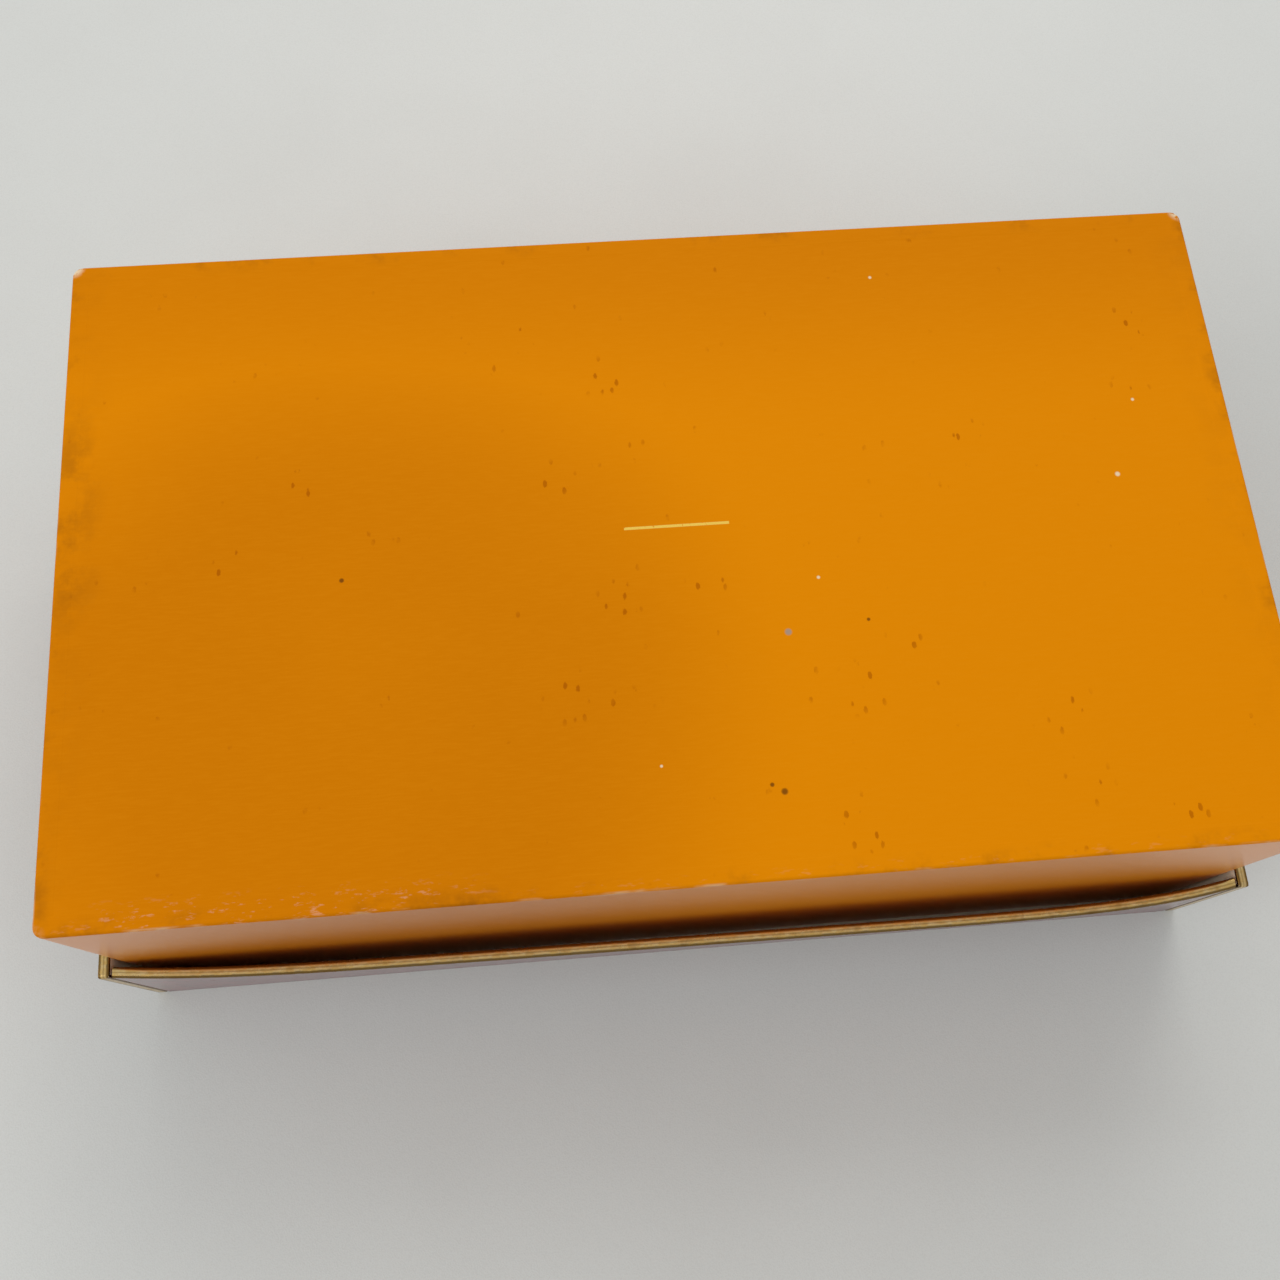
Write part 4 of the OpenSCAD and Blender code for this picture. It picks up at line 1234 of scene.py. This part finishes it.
class JACKBOX_OT_hat(bpy.types.Operator):
    """The felt cap, its three padded points, the braid and the bells.

    The cap is part of a ball with four sewn seams: radius * (1 - 0.022 * |cos(2 * turn)|^60).
    Points are tubes along soft curves, the braid a ring whose section has three twisted lobes"""

    bl_idname = "jackbox.hat"
    bl_label = "Hat"

    def execute(self, context):
        jack = settings()[1]
        outer, inner = HEAD_R + jack.cap, HEAD_R + 0.12 * MM
        brim = jack.cap_up * HEAD_R
        turn = np.linspace(0, TAU, 192, endpoint=False)[:, None]
        down = np.linspace(0.0, math.acos(brim / outer), 40)
        back = np.linspace(math.acos(brim / inner), 0.0, 40)
        bend = np.concatenate([down, back])[None, :]
        size = np.concatenate([np.full(40, outer), np.full(40, inner)])[None, :]
        seam = np.abs(np.cos(2 * turn)) ** 60 * np.sin(bend) ** 0.5
        pucker = 1 + 0.006 * np.sin(36 * bend + turn) * np.sin(11 * turn) * np.sin(bend)
        reach = size * np.where(size > inner, (1 - 0.022 * seam) * pucker, 1)
        points = around_jack(reach * np.sin(bend), turn, reach * np.cos(bend) + HEAD_UP)
        build("felt_cap", [in_case(points)], "hat_felt", "jack", ["hat"])
        parts = []
        for side in (-1, 0, 1):
            knots = smooth_path(np.array(horn_knots(side)) * HEAD_R, 18)
            path, radii = knots[:, :3], knots[:, 3]
            t = np.linspace(0, 1, len(path))
            path = path + [0, 0, HEAD_UP]
            radii = radii * (1 + 0.035 * np.sin(34 * t) * np.sin(math.pi * t))
            parts.append(tube_part(path, radii, 40, lobes=2, lobe_depth=0.03))
        piece = build("felt_points", parts, "points_felt", "jack", ["hat_points"])
        ring = math.sqrt(HEAD_R ** 2 - brim ** 2) + 0.9 * jack.band
        turn = np.linspace(0, TAU, 420, endpoint=False)[:, None]
        around = np.linspace(0, TAU, 32, endpoint=False)[None, :]
        thick = jack.band * (0.86 + 0.14 * np.cos(3 * around + 30 * turn))
        reach = ring + thick * np.cos(around)
        points = around_jack(reach, turn, HEAD_UP + brim + thick * np.sin(around))
        build("braid", [in_case(points, close_v=True)], "band_braid", "jack", ["hat_band"])
        bells = []
        for side in (-1, 0, 1):
            x, y, z, r = np.array(horn_knots(side)[-1]) * HEAD_R
            middle = np.array([x, y, HEAD_UP + z - 0.104 * HEAD_R - jack.bell])
            unit = unit_ball(64, 48)
            belt = 1 + 0.07 * np.exp(-(unit[..., 2] / 0.10) ** 2)
            slit = np.exp(-(unit[..., 0] / 0.09) ** 2) * (unit[..., 2] < -0.25)
            body = unit * (jack.bell * (belt - 0.12 * slit))[..., None] + middle
            bells.append(in_case(body))
        build("brass_bells", bells, "bell_brass", "jack", ["hat_bells"])
        return {"FINISHED"}


class JACKBOX_OT_arms(bpy.types.Operator):
    """Gathered sleeves, frilled cuffs and mitten hands.

    A sleeve is a tube that swells in its middle and has twelve gathers, a cuff a short frilled
    one. A hand is a flattened ball with three shallow grooves for fingers, and a thumb"""

    bl_idname = "jackbox.arms"
    bl_label = "Arms"

    def execute(self, context):
        jack = settings()[1]
        start = (PLATE_HIGH.x - PLATE_LOW.x) / 2 + 0.6 * MM
        sleeves, cuffs, hands = [], [], []
        for side in (-1, 1):
            t = np.linspace(0, 1, 40)
            x = start + jack.sleeve * t
            path = join(side * x, 0, ARM_UP)
            puff = (5 + 2.6 * t + 1.4 * np.sin(math.pi * t)) * MM
            puff = puff * (1 + 0.025 * np.sin(30 * t)) * np.clip(8 * (1 - t), 0.66, 1) ** 0.5
            sleeves.append(tube_part(path, puff, 96, lobes=12, lobe_depth=0.07))
            edge = start + jack.sleeve
            x = edge + jack.cuff * np.array([0.0, 0.04, 0.3, 0.55, 0.8, 0.97, 1.0, 0.9, 0.6])
            frill = np.array([4.6, 6.2, 7.6, 8.6, 9.3, 9.6, 9.2, 7.4, 3.4]) * MM
            path = join(side * x, 0, ARM_UP)
            cuffs.append(frilled(path, frill, side))
            middle = np.array([edge + jack.cuff + 0.86 * jack.hand, 0, ARM_UP])
            unit = unit_ball(72, 48)
            far = np.clip(unit[..., 0], 0, 1)
            groove = np.exp(-((np.abs(unit[..., 1]) - 0.34) / 0.06) ** 2) * far
            groove = groove + np.exp(-(unit[..., 1] / 0.06) ** 2) * far
            shape = unit * (1 - 0.05 * groove)[..., None]
            palm = shape * np.array([1.0, 0.92, 0.62]) * jack.hand + middle
            palm[..., 0] *= side
            hands.append(in_case(palm))
            thumb = smooth_path([(-0.35, -0.40, 0.10, 0.34), (-0.12, -0.85, 0.30, 0.33),
                                 (0.10, -1.10, 0.42, 0.26), (0.24, -1.24, 0.46, 0.12)], 10)
            place = thumb[:, :3] * jack.hand + middle
            place[:, 0] *= side
            hands.append(tube_part(place, thumb[:, 3] * jack.hand, 24))
        for name, parts, slot, node in (("cotton_sleeves", sleeves, "sleeve_cloth", "sleeves"),
                                        ("cotton_cuffs", cuffs, "ruff_cloth", "cuffs")):
            piece = build(name, parts, slot, "jack", [node])
            thread_map(piece, along_arm)
        build("mitten_hands", hands, "skin_paint", "jack", ["hands"])
        return {"FINISHED"}


def frilled(path, radii, side):
    """A short tube whose edge waves in and out along the arm as well as round it."""
    points, faces = tube(path, radii, 120, lobes=13, lobe_depth=0.035)
    away = np.linalg.norm(points[..., 1:] - [0, ARM_UP], axis=-1)
    turn = np.arctan2(points[..., 2] - ARM_UP, points[..., 1])
    points[..., 0] += side * 0.5 * MM * np.sin(13 * turn + 0.8) * (away / (9.5 * MM)) ** 3
    return to_case(points), faces


def along_arm(points):
    """Cloth coordinates of a sleeve: the way along the arm, and round it."""
    centre = FLOOR_Z - ARM_UP
    turn = np.arctan2(points[:, 2] - centre, points[:, 1] - MIDDLE_Y)
    return join(turn * SLEEVE_R, points[:, 0])


# ---- Operators: the stage -------------------------------------------------------

TABLE_HALF = 12.0
SENSOR_WIDTH = 36  # millimetres, what the lens is counted against
CLIP = (0.01, 50)  # the nearest and farthest things that the camera sees, in metres
LOOK_AT = (0, 0, 0.06)  # the point that the lights face


def lamp(name, at, target, size, power, tint):
    """A square soft light that faces a point."""
    light = bpy.data.lights.new(name, "AREA")
    light.size, light.energy, light.color = size, power, tint
    piece = bpy.data.objects.new(name, light)
    piece.location = at
    away = Vector(target) - Vector(at)
    piece.rotation_euler = away.to_track_quat("-Z", "Y").to_euler()
    bpy.context.scene.collection.objects.link(piece)
    return piece


class JACKBOX_OT_stage(bpy.types.Operator):
    """The table, the lights, the world and the camera"""

    bl_idname = "jackbox.stage"
    bl_label = "Stage"

    def execute(self, context):
        stage = settings()[4]
        scene = context.scene
        paint = Paint("table")
        speck = paint.noise(0.5 * MM, 3, seed=201)
        cloud = paint.noise(60 * MM, 3, seed=202)
        top = paint.mix(speck.rise(0.40, 0.72) * 0.14, stage.table, tone(176, 174, 168))
        top = paint.mix(cloud.rise(0.3, 0.8) * 0.10, top, tone(186, 184, 178))
        material = paint.done(top, 0.44 + speck * 0.08, speck, 0.05 * MM, Specular_IOR_Level=0.4)
        corners = [(x * TABLE_HALF, y * TABLE_HALF, 0)
                   for x, y in ((-1, -1), (1, -1), (1, 1), (-1, 1))]
        mesh = bpy.data.meshes.new("table")
        mesh.from_pydata(corners, [], [(0, 1, 2, 3)])
        mesh.materials.append(material)
        table = bpy.data.objects.new("table", mesh)
        scene.collection.objects.link(table)
        lamp("key", (0.25, 1.05, 1.15), LOOK_AT, 1.0, stage.key, (1.0, 0.985, 0.96))
        lamp("side", (-1.1, -0.45, 0.9), LOOK_AT, 0.9, stage.side, (0.98, 0.99, 1.0))
        lamp("fill", (0.5, -1.3, 0.7), LOOK_AT, 1.1, stage.fill, (1.0, 0.98, 0.96))
        world = bpy.data.worlds.new("room")
        world.use_nodes = True
        sky = world.node_tree.nodes["Background"]
        sky.inputs["Color"].default_value = (0.95, 0.97, 1.0, 1)
        sky.inputs["Strength"].default_value = stage.world
        scene.world = world
        camera = bpy.data.cameras.new("camera")
        camera.lens, camera.sensor_width = stage.lens, SENSOR_WIDTH
        camera.clip_start, camera.clip_end = CLIP
        camera.dof.use_dof = False
        viewer = bpy.data.objects.new("camera", camera)
        h, p, r = stage.heading, stage.pitch, stage.roll
        ahead = np.array([math.cos(p) * math.sin(h), math.cos(p) * math.cos(h), -math.sin(p)])
        level = np.array([math.cos(h), -math.sin(h), 0])
        right = math.cos(r) * level + math.sin(r) * np.cross(level, ahead)
        up = np.cross(right, ahead)
        turned = Matrix(np.stack([right, up, -ahead], -1).tolist()).to_4x4()
        viewer.matrix_world = Matrix.Translation(Vector(stage.eye)) @ turned
        scene.collection.objects.link(viewer)
        scene.camera = viewer
        scene.view_settings.view_transform = "Standard"
        return {"FINISHED"}


class JACKBOX_PT_parts(bpy.types.Panel):
    """Buttons for each group, and the sizes and colours they use"""

    bl_idname = "JACKBOX_PT_parts"
    bl_label = "Jack in the Box"
    bl_space_type = "VIEW_3D"
    bl_region_type = "UI"
    bl_category = "Jack Box"

    def draw(self, context):
        layout = self.layout
        for operator in OPERATORS:
            layout.operator(operator.bl_idname)
        for group in settings():
            box = layout.box()
            for name in group.bl_rna.properties.keys():
                if name not in ("rna_type", "name"):
                    box.prop(group, name)


GROUPS = {"jackbox_box": BoxSizes, "jackbox_jack": JackSizes, "jackbox_paper": BoxColours,
          "jackbox_paint": JackColours, "jackbox_stage": StageSettings}
OPERATORS = (JACKBOX_OT_finishes, JACKBOX_OT_case, JACKBOX_OT_lid, JACKBOX_OT_flap,
             JACKBOX_OT_gown, JACKBOX_OT_ruff, JACKBOX_OT_head, JACKBOX_OT_hair,
             JACKBOX_OT_hat, JACKBOX_OT_arms, JACKBOX_OT_stage)


def register():
    for group in GROUPS.values():
        bpy.utils.register_class(group)
    for name, group in GROUPS.items():
        setattr(bpy.types.Scene, name, bpy.props.PointerProperty(type=group))
    for operator in OPERATORS:
        bpy.utils.register_class(operator)
    bpy.utils.register_class(JACKBOX_PT_parts)


def unregister():
    bpy.utils.unregister_class(JACKBOX_PT_parts)
    for operator in reversed(OPERATORS):
        bpy.utils.unregister_class(operator)
    for name in GROUPS:
        delattr(bpy.types.Scene, name)
    for group in GROUPS.values():
        bpy.utils.unregister_class(group)


def main():
    register()
    bpy.ops.jackbox.finishes()
    bpy.ops.jackbox.case()
    bpy.ops.jackbox.lid()
    bpy.ops.jackbox.flap()
    bpy.ops.jackbox.gown()
    bpy.ops.jackbox.ruff()
    bpy.ops.jackbox.head()
    bpy.ops.jackbox.hair()
    bpy.ops.jackbox.hat()
    bpy.ops.jackbox.arms()
    bpy.ops.jackbox.stage()


if __name__ == "__main__":
    main()
